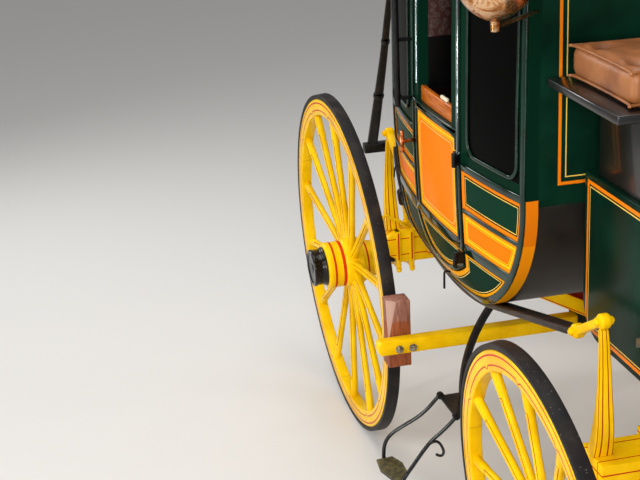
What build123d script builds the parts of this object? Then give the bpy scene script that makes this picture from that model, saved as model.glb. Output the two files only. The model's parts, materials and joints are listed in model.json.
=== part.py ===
"""Stagecoach with a boat-shaped body hung on leather braces between upright springs.

Frame: millimetres, +X forward, +Y to the coach's left, +Z up.
Origin on the ground, midway between the two axles, on the centre line.
Each sub-part is written to parts/NAME.step.
"""
import math
import os

from build123d import *

# Wheels and axles
WHEELBASE = 2030
REAR_RADIUS = 700
FRONT_RADIUS = 577
REAR_HALF_TRACK = 765          # outer face of the tyre, at the ground
FRONT_HALF_TRACK = 731
REAR_CAMBER = 2.55             # degrees, the top of the wheel leans outboard
FRONT_CAMBER = 4.2
REAR_SPOKES = 14
FRONT_SPOKES = 12
REAR_TURN = 10.8                # degrees from level to the first spoke, as it stands
FRONT_TURN = 0
TYRE_WIDTH = 46
TYRE_THICK = 17
FELLOE_DEPTH = 65
SPOKE_WIDTH = 40
SPOKE_DEPTH = 32
NAVE_INNER_END = -150          # along the axle arm, measured from the middle of the tread
NAVE_OUTER_END = 85
NAVE_RADIUS = 95
CAP_RADIUS = 76
CAP_END = 142
ARM_RADIUS = 30
RUNNING_GAP = 0.1              # arm in nave
SEAT_GAP = 0.3                 # curved faces that bear on each other
PROUD = 7                      # mouldings, above the panels

# Passenger body
BODY_CENTRE = -145             # station of the door's middle
BODY_HALF_LENGTH = 680
BODY_HALF_WIDTH = 659          # at the belt, at the door
SIDE_BOW = 64                  # how far the ends of a side are drawn in, seen from above
BELT_HEIGHT = 1430
BODY_TOP = 2200                # underside of the roof at the eaves
BELLY_HEIGHT = 925
END_ARC = 450                  # radius that turns each end under
BELLY_ARC = 1400               # radius of the belly, tangent to both end arcs
UNDER_TURN = 95                # how far the bottom is drawn in below the panels
WALL = 38
BOTTOM_WALL = 30
ROOF_THICK = 34
EDGE_STRIP = 26                # mouldings, seen from the side
BEAD = 14
BELTS = ((BELT_HEIGHT - 5, 26), (1275, 16), (1141, 36))       # height, width
ROOF_CROWN = 62

# Doors
DOOR_REAR = -395
DOOR_FRONT = 105
DOOR_FOOT = BELLY_HEIGHT + 78  # lowest point of the door's rounded foot
FOOT_STATION = -115            # where that point is
FOOT_ARC = 385
DOOR_TOP = 2120
DOOR_GAP = 6
DOOR_STILE = 72
SILL_HEIGHT = 1540
WINDOW_TOP = 2045
SASH_SHOWN = 56
HINGE_STANDOFF = 14            # hinge line, outboard of the side at the belt

# Undercarriage
BED_DEPTH = 100
BED_BOTTOM = 688
BED_TOP = 825
BED_HALF_LENGTH = 600
PERCH_WIDTH = 80
PERCH_BOTTOM = 703
PERCH_TOP = 793
SPRING_SPREAD = 562            # centre of the springs and of the leather braces
SPRING_WIDTH = 58              # at the foot
HEAD_WIDTH = 28                # at the head
LEAF = 9
LEAF_SHARES = (1, 0.86, 0.7, 0.54, 0.38)      # height of each leaf
SPRING_TOP = 1209
BRACE_WIDTH = 56
BRACE_THICK = 18
LINK_RUN = 168                 # from a spring's head down to the end of its brace
LINK_DROP = 98
HEAD_RADIUS = 22
LINK_BAR = 26
TRANSOM_BOTTOM = 700
TRANSOM_TOP = 825
FRONT_BED_TOP = 672
FRONT_BED_BOTTOM = 530
PLATE_THICK = 12
PLATE_RADIUS = 330
KINGPIN_RADIUS = 22
SPLINTER_HALF_LENGTH = 620
REACH = 1750                   # rear rack and splinter bar, ahead of and behind the origin

# Interior
FLOOR_TOP = BELLY_HEIGHT + 90
BOARD = 22
BENCH_DEPTH = 400
BENCH_TOP = FLOOR_TOP + 315
CUSHION_HALF = BODY_HALF_WIDTH - SIDE_BOW - WALL - 8
CUSHION_THICK = 110
BACK_THICK = 80
BACK_TOP = BENCH_TOP + 630

# Brake
BRAKE_GAP = 16                 # released block to tyre
BLOCK_THICK = 62
BLOCK_WIDTH = 86
BLOCK_HALF_HEIGHT = 129
BEAM_BOTTOM = 646
BEAM_HEIGHT = 50
BEAM_DEPTH = 52
BLOCK_OUT = 771                # middle of a brake block
BEAM_HALF_LENGTH = 865

# Steps
STEP_PIVOT_OUT = 655
STEP_PIVOT_HEIGHT = 485
TREAD_OUT = 866
TREAD_HEIGHT = 268
STEP_CENTRE = -45
STEP_WIDTH = 170
TREAD_DEPTH = 96
TREAD_CORNER = 26              # cut off each corner of the tread
TREAD_THICK = 12
PLATE_DEPTH = 110
BAR_THICK = 8
BAR_WIDTH = 18
STEP_PIN_RADIUS = 6
HANGER_FOOT = 600              # the hanger's foot on the plate
HANGER_OUT = 370               # where the hanger meets the body's bottom
HANGER_WIDTH = 22

REAR_X = -WHEELBASE / 2
FRONT_X = WHEELBASE / 2
SIDES = {"right": -1, "left": 1}

os.makedirs("parts", exist_ok=True)


def save(name, *solids):
    """Write one node; several solids become one compound."""
    shape = solids[0] if len(solids) == 1 else Compound(children=list(solids))
    export_step(shape, f"parts/{name}.step")


def block(x0, x1, y0, y1, z0, z1):
    """Box between two corners."""
    return Pos((x0 + x1) / 2, (y0 + y1) / 2, (z0 + z1) / 2) * Box(x1 - x0, y1 - y0, z1 - z0)


def rod(start, end, radius):
    """Round bar from one point to another."""
    start, end = Vector(*start), Vector(*end)
    along = end - start
    return extrude(Plane(start, z_dir=along) * Circle(radius), amount=along.length)


def side_prism(face, y0, y1):
    """Extrude a face drawn in side view (x, z) across the coach from y0 to y1."""
    return extrude(Plane((0, y0, 0), x_dir=(1, 0, 0), z_dir=(0, -1, 0)) * face, amount=y0 - y1)


def end_prism(face, x0, x1):
    """Extrude a face drawn in end view (y, z) along the coach from x0 to x1."""
    return extrude(Plane((x0, 0, 0), x_dir=(0, 1, 0), z_dir=(1, 0, 0)) * face, amount=x1 - x0)


def polygon(*points):
    return make_face(Polyline(*points, close=True))


def mirrored(shape):
    """The same piece on the other side of the coach."""
    return mirror(shape, about=Plane.XZ)


# Wheels
def wheel_frame(x, half_track, radius, camber, side):
    """Plane at the middle of the tread: its z axis is the axle arm, pointing outboard."""
    lean = math.radians(camber)
    out = half_track + radius * math.sin(lean) - TYRE_WIDTH / 2 * math.cos(lean)
    up = radius * math.cos(lean) + TYRE_WIDTH / 2 * math.sin(lean)
    return Plane((x, side * out, up), x_dir=(1, 0, 0), z_dir=(0, side * math.cos(lean), -math.sin(lean)))


def spoke(foot, rim, dish):
    """One spoke along +X, leaning out by the dish, with its edges taken off."""
    def section(x, z, width, depth, cut):
        w, d = width / 2, depth / 2
        face = polygon((-w + cut, -d), (w - cut, -d), (w, -d + cut), (w, d - cut),
                       (w - cut, d), (-w + cut, d), (-w, d - cut), (-w, -d + cut))
        return Plane((x, 0, z), x_dir=(0, 1, 0), z_dir=(1, 0, 0)) * face
    return loft([section(foot, -dish, SPOKE_WIDTH, SPOKE_DEPTH, 5),
                 section(rim, 0, SPOKE_WIDTH * 0.85, SPOKE_DEPTH * 0.85, 8)], ruled=True)


def wheel_wood(radius, spokes, camber):
    """Nave, spokes and felloe. The tread is coned, so that the leaning wheel stands flat."""
    cone = math.tan(math.radians(camber)) * TYRE_WIDTH / 2
    half = TYRE_WIDTH / 2 - 1
    outer = radius - TYRE_THICK - 2 * SEAT_GAP
    inner = outer - FELLOE_DEPTH
    felloe = revolve(Plane.XZ * polygon((inner, -half), (outer + 2 * cone, -half), (outer, half), (inner, half)),
                     Axis.Z)
    dish = (radius - NAVE_RADIUS) * math.tan(math.radians(camber))
    # Nave profile, (radius, distance along the arm)
    nave = revolve(Plane.XZ * polygon(
        (ARM_RADIUS + RUNNING_GAP, NAVE_INNER_END), (70, NAVE_INNER_END), (74, NAVE_INNER_END + 40),
        (NAVE_RADIUS, -dish - 38), (NAVE_RADIUS + 6, -dish - 20), (NAVE_RADIUS + 6, -dish + 20),
        (NAVE_RADIUS, -dish + 38), (NAVE_RADIUS - 2, NAVE_OUTER_END - 8), (NAVE_RADIUS - 8, NAVE_OUTER_END),
        (ARM_RADIUS + RUNNING_GAP, NAVE_OUTER_END)), Axis.Z)
    one = spoke(NAVE_RADIUS - 6, inner + 10, dish)
    wood = nave + felloe
    return wood + [Rot(0, 0, 360 / spokes * i) * one for i in range(spokes)]


def tyre(radius, camber):
    cone = math.tan(math.radians(camber)) * TYRE_WIDTH / 2
    half = TYRE_WIDTH / 2
    inner = radius - TYRE_THICK
    return revolve(Plane.XZ * polygon((inner + 2 * cone, -half), (radius + 2 * cone, -half),
                                      (radius, half), (inner, half)), Axis.Z)


def hub_cap():
    """Turned cap over the end of the axle arm, open towards the nave."""
    hollow = ARM_RADIUS + 14
    start = NAVE_OUTER_END
    return revolve(Plane.XZ * polygon(
        (hollow, start), (CAP_RADIUS + 4, start), (CAP_RADIUS + 4, start + 8), (CAP_RADIUS, start + 12),
        (CAP_RADIUS, CAP_END - 8), (CAP_RADIUS - 6, CAP_END - 2), (CAP_RADIUS - 14, CAP_END), (0, CAP_END),
        (0, CAP_END - 12), (hollow, CAP_END - 12)), Axis.Z)


AXLES = {  # name: station, half track, radius, camber, spokes, turn
    "rear": (REAR_X, REAR_HALF_TRACK, REAR_RADIUS, REAR_CAMBER, REAR_SPOKES, REAR_TURN),
    "front": (FRONT_X, FRONT_HALF_TRACK, FRONT_RADIUS, FRONT_CAMBER, FRONT_SPOKES, FRONT_TURN),
}
arm_frames = {}
for axle, (station, half_track, radius, camber, spokes, turn) in AXLES.items():
    wood = Rot(0, 0, turn) * wheel_wood(radius, spokes, camber)
    hoop = tyre(radius, camber)
    for side_name, side in SIDES.items():
        place = wheel_frame(station, half_track, radius, camber, side)
        arm_frames[axle, side_name] = place
        save(f"wheel_{axle}_{side_name}", place * wood)
        save(f"tyre_{axle}_{side_name}", place * hoop)
        save(f"hub_cap_{axle}_{side_name}", place * hub_cap())


def axle_iron(axle):
    """Square bar between the naves, with a round arm and a collar for each wheel."""
    right, left = arm_frames[axle, "right"], arm_frames[axle, "left"]
    shoulder = [(p * Pos(0, 0, NAVE_INNER_END - 16)).position for p in (right, left)]
    bar = Pos(shoulder[0].X, 0, shoulder[0].Z) * Box(46, 2 * abs(shoulder[0].Y), 46)
    for place in (right, left):
        arm = Pos(0, 0, NAVE_INNER_END - 20) * Cylinder(ARM_RADIUS, NAVE_OUTER_END + 20 - NAVE_INNER_END,
                                                        align=(Align.CENTER, Align.CENTER, Align.MIN))
        collar = Pos(0, 0, NAVE_INNER_END - 20) * Cylinder(44, 20 - SEAT_GAP,
                                                           align=(Align.CENTER, Align.CENTER, Align.MIN))
        bar = bar + place * arm + place * collar
    return bar, shoulder[0].Z


rear_iron, rear_iron_height = axle_iron("rear")
front_iron, front_iron_height = axle_iron("front")

# Hind carriage: axle bed, perch and wings
bed_side = polygon((-BED_HALF_LENGTH, BED_BOTTOM + 40), (-BED_HALF_LENGTH + 60, BED_BOTTOM),
                   (BED_HALF_LENGTH - 60, BED_BOTTOM), (BED_HALF_LENGTH, BED_BOTTOM + 40),
                   (BED_HALF_LENGTH, BED_TOP - 25), (BED_HALF_LENGTH - 40, BED_TOP),
                   (-BED_HALF_LENGTH + 40, BED_TOP), (-BED_HALF_LENGTH, BED_TOP - 25))
rear_bed = end_prism(bed_side, REAR_X - BED_DEPTH / 2, REAR_X + BED_DEPTH / 2) - rear_iron
save("rear_axle_bed", rear_bed)
save("rear_axle", rear_iron)

TRANSOM_DEPTH = 150
perch = block(REAR_X + BED_DEPTH / 2, FRONT_X - TRANSOM_DEPTH / 2, -PERCH_WIDTH / 2, PERCH_WIDTH / 2,
              PERCH_BOTTOM, PERCH_TOP)

WING_START = -20               # where the wings leave the perch
WING_SPREAD = 380
WING_THICK = 50
wing_y = PERCH_WIDTH / 2
rear_face = REAR_X + BED_DEPTH / 2
wing = extrude(Plane((0, 0, PERCH_BOTTOM + 10)) * polygon(
    (WING_START, wing_y), (WING_START, wing_y + 8), (rear_face, WING_SPREAD + WING_THICK),
    (rear_face, WING_SPREAD), (WING_START - 220, wing_y)), amount=62)
save("perch", perch + wing + mirrored(wing))

# Front of the undercarriage that doesn't turn: transom on the upper wheel plate
transom = block(FRONT_X - TRANSOM_DEPTH / 2, FRONT_X + TRANSOM_DEPTH / 2, -BED_HALF_LENGTH + 10,
                BED_HALF_LENGTH - 10, TRANSOM_BOTTOM, TRANSOM_TOP)
upper_plate = Pos(FRONT_X, 0, TRANSOM_BOTTOM - PLATE_THICK / 2) * (
    Cylinder(PLATE_RADIUS, PLATE_THICK) - Cylinder(PLATE_RADIUS - 60, PLATE_THICK))
pin_hole = Pos(FRONT_X, 0, 0) * Cylinder(KINGPIN_RADIUS + RUNNING_GAP, 3000)
BOOT_BOTTOM = BELLY_HEIGHT + 85
blocks = [block(FRONT_X - 60, FRONT_X + 40, s * 330 - 45, s * 330 + 45, TRANSOM_TOP, BOOT_BOTTOM) for s in (-1, 1)]
save("front_transom", (transom + blocks) - pin_hole)
save("upper_wheel_plate", upper_plate)

# Fore carriage, which turns about the kingpin
plate_top = TRANSOM_BOTTOM - PLATE_THICK - SEAT_GAP
plate_bottom = plate_top - PLATE_THICK
front_bed = block(FRONT_X - BED_DEPTH / 2, FRONT_X + BED_DEPTH / 2, -BED_HALF_LENGTH + 60,
                  BED_HALF_LENGTH - 60, FRONT_BED_BOTTOM, plate_bottom) - front_iron
lower_plate = Pos(FRONT_X, 0, plate_bottom + PLATE_THICK / 2) * (
    Cylinder(PLATE_RADIUS, PLATE_THICK) - Cylinder(PLATE_RADIUS - 60, PLATE_THICK))
kingpin = Pos(FRONT_X, 0, 0) * (
    Pos(0, 0, plate_bottom) * Cylinder(KINGPIN_RADIUS, TRANSOM_TOP + 12 - plate_bottom,
                                       align=(Align.CENTER, Align.CENTER, Align.MIN)))
FUTCHELL_SPREAD = 130
FUTCHELL_WIDTH = 60
FUTCHELL_BACK = FRONT_X - 330
SPLINTER_DEPTH = 80
SPLINTER_BOTTOM = 585
SPLINTER_TOP = 665
futchell_top = plate_bottom
futchell_bottom = futchell_top - 70


def futchell(side):
    inner = side * (FUTCHELL_SPREAD - FUTCHELL_WIDTH / 2)
    outer = side * (FUTCHELL_SPREAD + FUTCHELL_WIDTH / 2)
    front_part = block(FRONT_X + BED_DEPTH / 2, REACH - SPLINTER_DEPTH, min(inner, outer), max(inner, outer),
                       futchell_bottom, futchell_top)
    back_part = block(FUTCHELL_BACK, FRONT_X - BED_DEPTH / 2, min(inner, outer), max(inner, outer),
                      futchell_bottom, futchell_top)
    return front_part, back_part


futchells = [piece for side in (-1, 1) for piece in futchell(side)]
sway_bar = block(FUTCHELL_BACK - 50, FUTCHELL_BACK, -260, 260, futchell_top - 60, futchell_top)
splinter_bar = block(REACH - SPLINTER_DEPTH, REACH, -SPLINTER_HALF_LENGTH, SPLINTER_HALF_LENGTH,
                     SPLINTER_BOTTOM, SPLINTER_TOP)
POLE_PIN_RADIUS = 12
pole_pin = Pos(REACH - SPLINTER_DEPTH / 2, 0, 0) * Cylinder(POLE_PIN_RADIUS, 3000)
save("front_axle_bed", front_bed)
save("front_axle", front_iron)
save("lower_wheel_plate", lower_plate, kingpin)
save("futchells", *futchells, sway_bar)
save("splinter_bar", splinter_bar - pole_pin)


# Upright springs
def spring(base_x, base_z, lean):
    """Stack of leaves standing on a bed, each leaf shorter than the one before it."""
    height = SPRING_TOP - base_z
    stack = []
    for i, share in enumerate(LEAF_SHARES):
        top, middle = base_z + height * share, base_z + height * share / 2
        near, far = -lean * LEAF * i, -lean * LEAF * (i + 1)
        sway = lean * SPRING_SWAY
        x, bow = base_x - sway * share, lean * SPRING_BOW * share
        face = make_face([
            ThreePointArc((base_x + near, base_z), ((base_x + x) / 2 + near - bow, middle), (x + near, top)),
            Line((x + near, top), (x + far, top - 6)),
            ThreePointArc((x + far, top - 6), ((base_x + x) / 2 + far - bow, middle), (base_x + far, base_z)),
            Line((base_x + far, base_z), (base_x + near, base_z))])
        stack.append(side_prism(face, -SPRING_WIDTH / 2, SPRING_WIDTH / 2))
    taper = polygon((-SPRING_WIDTH / 2, base_z), (SPRING_WIDTH / 2, base_z),
                    (HEAD_WIDTH / 2, SPRING_TOP), (-HEAD_WIDTH / 2, SPRING_TOP))
    return (stack[0] + stack[1:]) & end_prism(taper, base_x - 300, base_x + 300)


FRONT_SPRING_X = FRONT_X - 25
SPRING_FOOT = 22               # front of the stack, ahead of the middle of the rear bed
SPRING_SWAY = 23               # how far the head stands back from the foot
SPRING_BOW = 24
spring_sets = {"rear": (REAR_X + SPRING_FOOT, BED_TOP, 1), "front": (FRONT_SPRING_X, TRANSOM_TOP, -1)}
stacks = []
for x, z, lean in spring_sets.values():
    stack = spring(x, z, lean)
    stacks += [Pos(0, side * SPRING_SPREAD, 0) * stack for side in (-1, 1)]
save("springs", *stacks)


# Body outline in side view: upright ends, end arcs and belly arc, all tangent
c = BODY_CENTRE
arc_u = BODY_HALF_LENGTH - END_ARC
CORNER_HEIGHT = BELLY_HEIGHT + BELLY_ARC - math.sqrt((BELLY_ARC - END_ARC) ** 2 - arc_u ** 2)
belly_z = BELLY_HEIGHT + BELLY_ARC
meet = math.atan2(arc_u, belly_z - CORNER_HEIGHT)      # where the arcs meet, from the vertical


def on_end_arc(angle, inset=0):
    """Point on the rear end arc, at an angle from straight down towards the rear."""
    return (c - arc_u - (END_ARC - inset) * math.sin(angle), CORNER_HEIGHT - (END_ARC - inset) * math.cos(angle))


def other_end(point):
    return (2 * c - point[0], point[1])


def body_outline(inset=0):
    """Closed outline of the body's side, taken in by the inset."""
    half = BODY_HALF_LENGTH - inset
    top = BODY_TOP + 120
    low, turn = on_end_arc(meet, inset), on_end_arc((meet + math.pi / 2) / 2, inset)
    return make_face([
        Line((c - half, top), (c - half, CORNER_HEIGHT)),
        ThreePointArc((c - half, CORNER_HEIGHT), turn, low),
        ThreePointArc(low, (c, BELLY_HEIGHT + inset), other_end(low)),
        ThreePointArc(other_end(low), other_end(turn), (c + half, CORNER_HEIGHT)),
        Line((c + half, CORNER_HEIGHT), (c + half, top)),
        Line((c + half, top), (c - half, top))])


PLAN_RADIUS = (BODY_HALF_LENGTH ** 2 + SIDE_BOW ** 2) / (2 * SIDE_BOW)
PROFILE_BOTTOM = BELLY_HEIGHT - 15


def side_skin(inner, outer):
    """Right-hand side wall between two depths, measured outboard from the wall's outer face."""
    # how far the side is drawn in at each height, from the bottom up
    profile = ((UNDER_TURN, PROFILE_BOTTOM), (42, BELLY_HEIGHT + 42), (17, BELLY_HEIGHT + 110), (5, 1230),
               (0, BELT_HEIGHT + 20), (4, 1850), (19, BODY_TOP + 80))

    def edge(shift):
        return [(-(BODY_HALF_WIDTH - drawn_in + shift), height) for drawn_in, height in profile]
    a, b = edge(inner), edge(outer)
    arcs = [ThreePointArc(*points[i:i + 3]) for points in (a, b) for i in (0, 2, 4)]
    face = make_face(arcs + [Line(a[0], b[0]), Line(a[6], b[6])])
    centre = (BODY_CENTRE, PLAN_RADIUS - BODY_HALF_WIDTH, 0)
    spread = math.degrees(math.asin((BODY_HALF_LENGTH + 60) / PLAN_RADIUS))
    axis = Axis(centre, (0, 0, 1))
    wall = revolve(Plane((BODY_CENTRE, 0, 0), x_dir=(0, 1, 0), z_dir=(1, 0, 0)) * face, axis, 2 * spread)
    return wall.rotate(axis, -spread)


DEEP = 900
roof_under = make_face([ThreePointArc((-BODY_HALF_WIDTH, BODY_TOP), (0, BODY_TOP + ROOF_CROWN),
                                      (BODY_HALF_WIDTH, BODY_TOP)),
                        Line((BODY_HALF_WIDTH, BODY_TOP), (BODY_HALF_WIDTH + 300, BODY_TOP)),
                        Line((BODY_HALF_WIDTH + 300, BODY_TOP), (BODY_HALF_WIDTH + 300, BODY_TOP + 600)),
                        Line((BODY_HALF_WIDTH + 300, BODY_TOP + 600), (-BODY_HALF_WIDTH - 300, BODY_TOP + 600)),
                        Line((-BODY_HALF_WIDTH - 300, BODY_TOP + 600), (-BODY_HALF_WIDTH - 300, BODY_TOP)),
                        Line((-BODY_HALF_WIDTH - 300, BODY_TOP), (-BODY_HALF_WIDTH, BODY_TOP))])
above_roof = end_prism(roof_under, BODY_CENTRE - DEEP, BODY_CENTRE + DEEP)
outline_prism = side_prism(body_outline(), -DEEP, 0)
body_solid = side_prism(body_outline(-SEAT_GAP), -DEEP, DEEP)
outboard = side_skin(-WALL, 400)
outboard_both = [outboard, mirrored(outboard)]



def foot(x, offset=0):
    """Height of the door's rounded foot, or of a curve that runs outside it."""
    radius = FOOT_ARC + offset
    return DOOR_FOOT + FOOT_ARC - math.sqrt(radius ** 2 - (x - FOOT_STATION) ** 2)


def over_foot(x0, x1, top, offset=0):
    """Face between two stations, from that curve up to a height."""
    middle = (x0 + x1) / 2
    return make_face([
        ThreePointArc((x0, foot(x0, offset)), (middle, foot(middle, offset)), (x1, foot(x1, offset))),
        Line((x1, foot(x1, offset)), (x1, top)), Line((x1, top), (x0, top)),
        Line((x0, top), (x0, foot(x0, offset)))])


door_face = over_foot(DOOR_REAR, DOOR_FRONT, DOOR_TOP)
opening_face = over_foot(DOOR_REAR - DOOR_GAP, DOOR_FRONT + DOOR_GAP, DOOR_TOP + DOOR_GAP, DOOR_GAP)
door_hole = side_prism(opening_face, -DEEP, -200)
wall_skin = side_skin(-WALL, 0)
outer_cut = side_skin(-WALL, SEAT_GAP)
side_wall = (wall_skin & outline_prism) - door_hole - above_roof
save("body_side_right", side_wall)
save("body_side_left", mirrored(side_wall))

band = side_prism(body_outline(), -DEEP, DEEP) - side_prism(body_outline(BOTTOM_WALL), -DEEP, DEEP)
band = band - outboard_both - above_roof
lower_region = block(-3000, 3000, -DEEP, DEEP, 0, CORNER_HEIGHT)
save("body_bottom", band & lower_region)
save("body_ends", *[band & block(x0, x1, -DEEP, DEEP, CORNER_HEIGHT, 3000)
                    for x0, x1 in ((-3000, BODY_CENTRE), (BODY_CENTRE, 3000))])

# Mouldings: a strip round each side, belts across it, and a bead round each upper panel
def strip(face, proud=PROUD):
    """Raised moulding on the right-hand side, drawn in side view."""
    return side_skin(SEAT_GAP, proud) & side_prism(face, -DEEP, -300)


def bead(x0, x1, z0, z1, corner):
    """Rounded rectangular frame of bead."""
    def panel(inset):
        return Pos((x0 + x1) / 2, (z0 + z1) / 2) * RectangleRounded(
            x1 - x0 - 2 * inset, z1 - z0 - 2 * inset, corner - inset)
    return panel(0) - panel(BEAD)


KNUCKLE = 8                    # door hinges
side_rear = BODY_CENTRE - BODY_HALF_LENGTH
side_front = BODY_CENTRE + BODY_HALF_LENGTH
trim_face = body_outline() - body_outline(EDGE_STRIP)
for height, width in BELTS:
    trim_face = trim_face + Pos(BODY_CENTRE, height) * Rectangle(2 * BODY_HALF_LENGTH, width)
PANEL_FOOT = BELT_HEIGHT + 40
PANEL_HEAD = BODY_TOP - 60
trim_face = trim_face + bead(side_rear + 40, DOOR_REAR - 55, PANEL_FOOT, PANEL_HEAD, 60)
trim_face = trim_face + bead(DOOR_FRONT + 55, side_front - 40, PANEL_FOOT, PANEL_HEAD, 60)
trim_face = trim_face & (body_outline() & Pos(BODY_CENTRE, BODY_TOP / 2) * Rectangle(2000, BODY_TOP))
trim_face = trim_face - over_foot(DOOR_REAR - DOOR_GAP, DOOR_FRONT + 2 * KNUCKLE, BODY_TOP + 200, 2 * DOOR_GAP)
trim = strip(trim_face)
save("mouldings", *trim.solids(), *mirrored(trim).solids())

# Roof and its rail
EAVE = 22
roof_half = BODY_HALF_WIDTH + EAVE
drop = 14
roof_face = make_face([
    ThreePointArc((-BODY_HALF_WIDTH, BODY_TOP), (0, BODY_TOP + ROOF_CROWN), (BODY_HALF_WIDTH, BODY_TOP)),
    Line((BODY_HALF_WIDTH, BODY_TOP), (roof_half, BODY_TOP)),
    Line((roof_half, BODY_TOP), (roof_half, BODY_TOP + ROOF_THICK)),
    ThreePointArc((roof_half, BODY_TOP + ROOF_THICK), (0, BODY_TOP + ROOF_CROWN + ROOF_THICK),
                  (-roof_half, BODY_TOP + ROOF_THICK)),
    Line((-roof_half, BODY_TOP + ROOF_THICK), (-roof_half, BODY_TOP)),
    Line((-roof_half, BODY_TOP), (-BODY_HALF_WIDTH, BODY_TOP))])
roof_ends = BODY_HALF_LENGTH + EAVE
save("roof", end_prism(roof_face, BODY_CENTRE - roof_ends, BODY_CENTRE + roof_ends))

RAIL = 9                       # radius of the iron rails
RAIL_RISE = 85
rails = []
rail_x = (BODY_CENTRE - BODY_HALF_LENGTH + 60, BODY_CENTRE + BODY_HALF_LENGTH - 60)
rail_y = BODY_HALF_WIDTH - 60
roof_skin = end_prism(roof_face, BODY_CENTRE - roof_ends, BODY_CENTRE + roof_ends)
rail_z = BODY_TOP + ROOF_THICK + RAIL_RISE
roof_rail = [rod((rail_x[0], s * rail_y, rail_z), (rail_x[1], s * rail_y, rail_z), RAIL) for s in (-1, 1)]
roof_rail += [rod((x, -rail_y, rail_z), (x, rail_y, rail_z), RAIL) for x in rail_x]
roof_rail += [Pos(x, s * rail_y, rail_z) * Sphere(RAIL + 2) for x in rail_x for s in (-1, 1)]
for share in (0, 0.25, 0.5, 0.75, 1):
    x = rail_x[0] + share * (rail_x[1] - rail_x[0])
    roof_rail += [rod((x, s * rail_y, BODY_TOP), (x, s * rail_y, rail_z), RAIL - 1) for s in (-1, 1)]
roof_rail = (roof_rail[0] + roof_rail[1:]) - roof_skin - block(-3000, 3000, -DEEP, DEEP, 0, BODY_TOP + ROOF_THICK / 2)
GRAB_X = DOOR_REAR - 26
GRAB_OUT = BODY_HALF_WIDTH + 42
for s in (-1, 1):
    bar = rod((GRAB_X, s * GRAB_OUT, 1500), (GRAB_X, s * GRAB_OUT, 1950), 11)
    for height in (1530, 1740, 1920):
        bar = bar + rod((GRAB_X, s * (BODY_HALF_WIDTH - 20), height), (GRAB_X, s * GRAB_OUT, height), 7)
    rails.append((bar - (outer_cut if s < 0 else mirrored(outer_cut))).solids().sort_by(SortBy.VOLUME)[-1])
save("rails", roof_rail, *rails)

# Carriage lamps at the front corners: finial, bowl, rim, lantern, cap and vent
LAMP_X = side_front + 155
LAMP_OUT = 750
LAMP_HEIGHT = 2101
lamp = Pos(LAMP_X, -LAMP_OUT, LAMP_HEIGHT) * revolve(Plane.XZ * make_face([
    Line((0, -150), (12, -150)), Line((12, -150), (14, -112)), ThreePointArc((14, -112), (76, -62), (102, 0)),
    Line((102, 0), (108, 2)), Line((108, 2), (108, 12)), Line((108, 12), (76, 16)), Line((76, 16), (72, 170)),
    Line((72, 170), (92, 176)), ThreePointArc((92, 176), (66, 214), (34, 224)), Line((34, 224), (34, 250)),
    Line((34, 250), (44, 254)), Line((44, 254), (0, 280)), Line((0, 280), (0, -150))]), Axis.Z)
lamp_arm = rod((LAMP_X, -LAMP_OUT, LAMP_HEIGHT - 135), (side_front - 40, -520, LAMP_HEIGHT - 135), 8)
lamp_arm = lamp_arm - block(side_front - 200, side_front + SEAT_GAP, -DEEP, DEEP, 0, 3000)
lamp = lamp + lamp_arm
save("lamps", lamp, mirrored(lamp))

# Interior: floor, benches, cushions
floor_face = body_outline(BOTTOM_WALL + SEAT_GAP)
floor = side_prism(floor_face, -DEEP, DEEP) - outboard_both
save("floor", floor & block(-3000, 3000, -DEEP, DEEP, FLOOR_TOP - BOARD, FLOOR_TOP))
turn_round = Plane((BODY_CENTRE, 0, 0), x_dir=(0, 1, 0), z_dir=(1, 0, 0))
rear_inside = BODY_CENTRE - BODY_HALF_LENGTH + BOTTOM_WALL
riser = rear_inside + BENCH_DEPTH
bench = block(rear_inside - 100, riser, -DEEP, DEEP, BENCH_TOP - BOARD, BENCH_TOP)
bench = bench + block(riser - BOARD, riser, -DEEP, DEEP, FLOOR_TOP, BENCH_TOP)
bench = (bench & side_prism(floor_face, -DEEP, DEEP)) - outboard_both
save("benches", bench, mirror(bench, about=turn_round))
cushion_rear = rear_inside + 12
seat_cushion = block(cushion_rear, riser + 10, -CUSHION_HALF, CUSHION_HALF,
                     BENCH_TOP + SEAT_GAP, BENCH_TOP + CUSHION_THICK)
seat_cushion = fillet(seat_cushion.edges(), 18)
back_cushion = block(rear_inside + SEAT_GAP, rear_inside + BACK_THICK, -CUSHION_HALF, CUSHION_HALF,
                     BENCH_TOP + CUSHION_THICK + SEAT_GAP, BACK_TOP)
back_cushion = fillet(back_cushion.edges(), 18)
save("cushions", *[piece for one in (seat_cushion, back_cushion) for piece in (one, mirror(one, about=turn_round))])


# Leather braces under the body, from link to link, and the links on the spring heads
def tangent_angle(centre, radius, point):
    """Angle from straight down at which a line from the point touches the circle's underside."""
    dx, dz = point[0] - centre[0], point[1] - centre[1]
    distance = math.hypot(dx, dz)
    return math.atan2(-dx, -dz) - math.acos(radius / distance)


def strap_end(point, touch, shift):
    """Corner of a strap's square end near the point, shifted across the strap."""
    run = math.hypot(touch[0] - point[0], touch[1] - point[1])
    ux, uz = (touch[0] - point[0]) / run, (touch[1] - point[1]) / run
    return (point[0] + ux * (HEAD_RADIUS + SEAT_GAP) + uz * shift, point[1] + uz * (HEAD_RADIUS + SEAT_GAP) - ux * shift)


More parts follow.
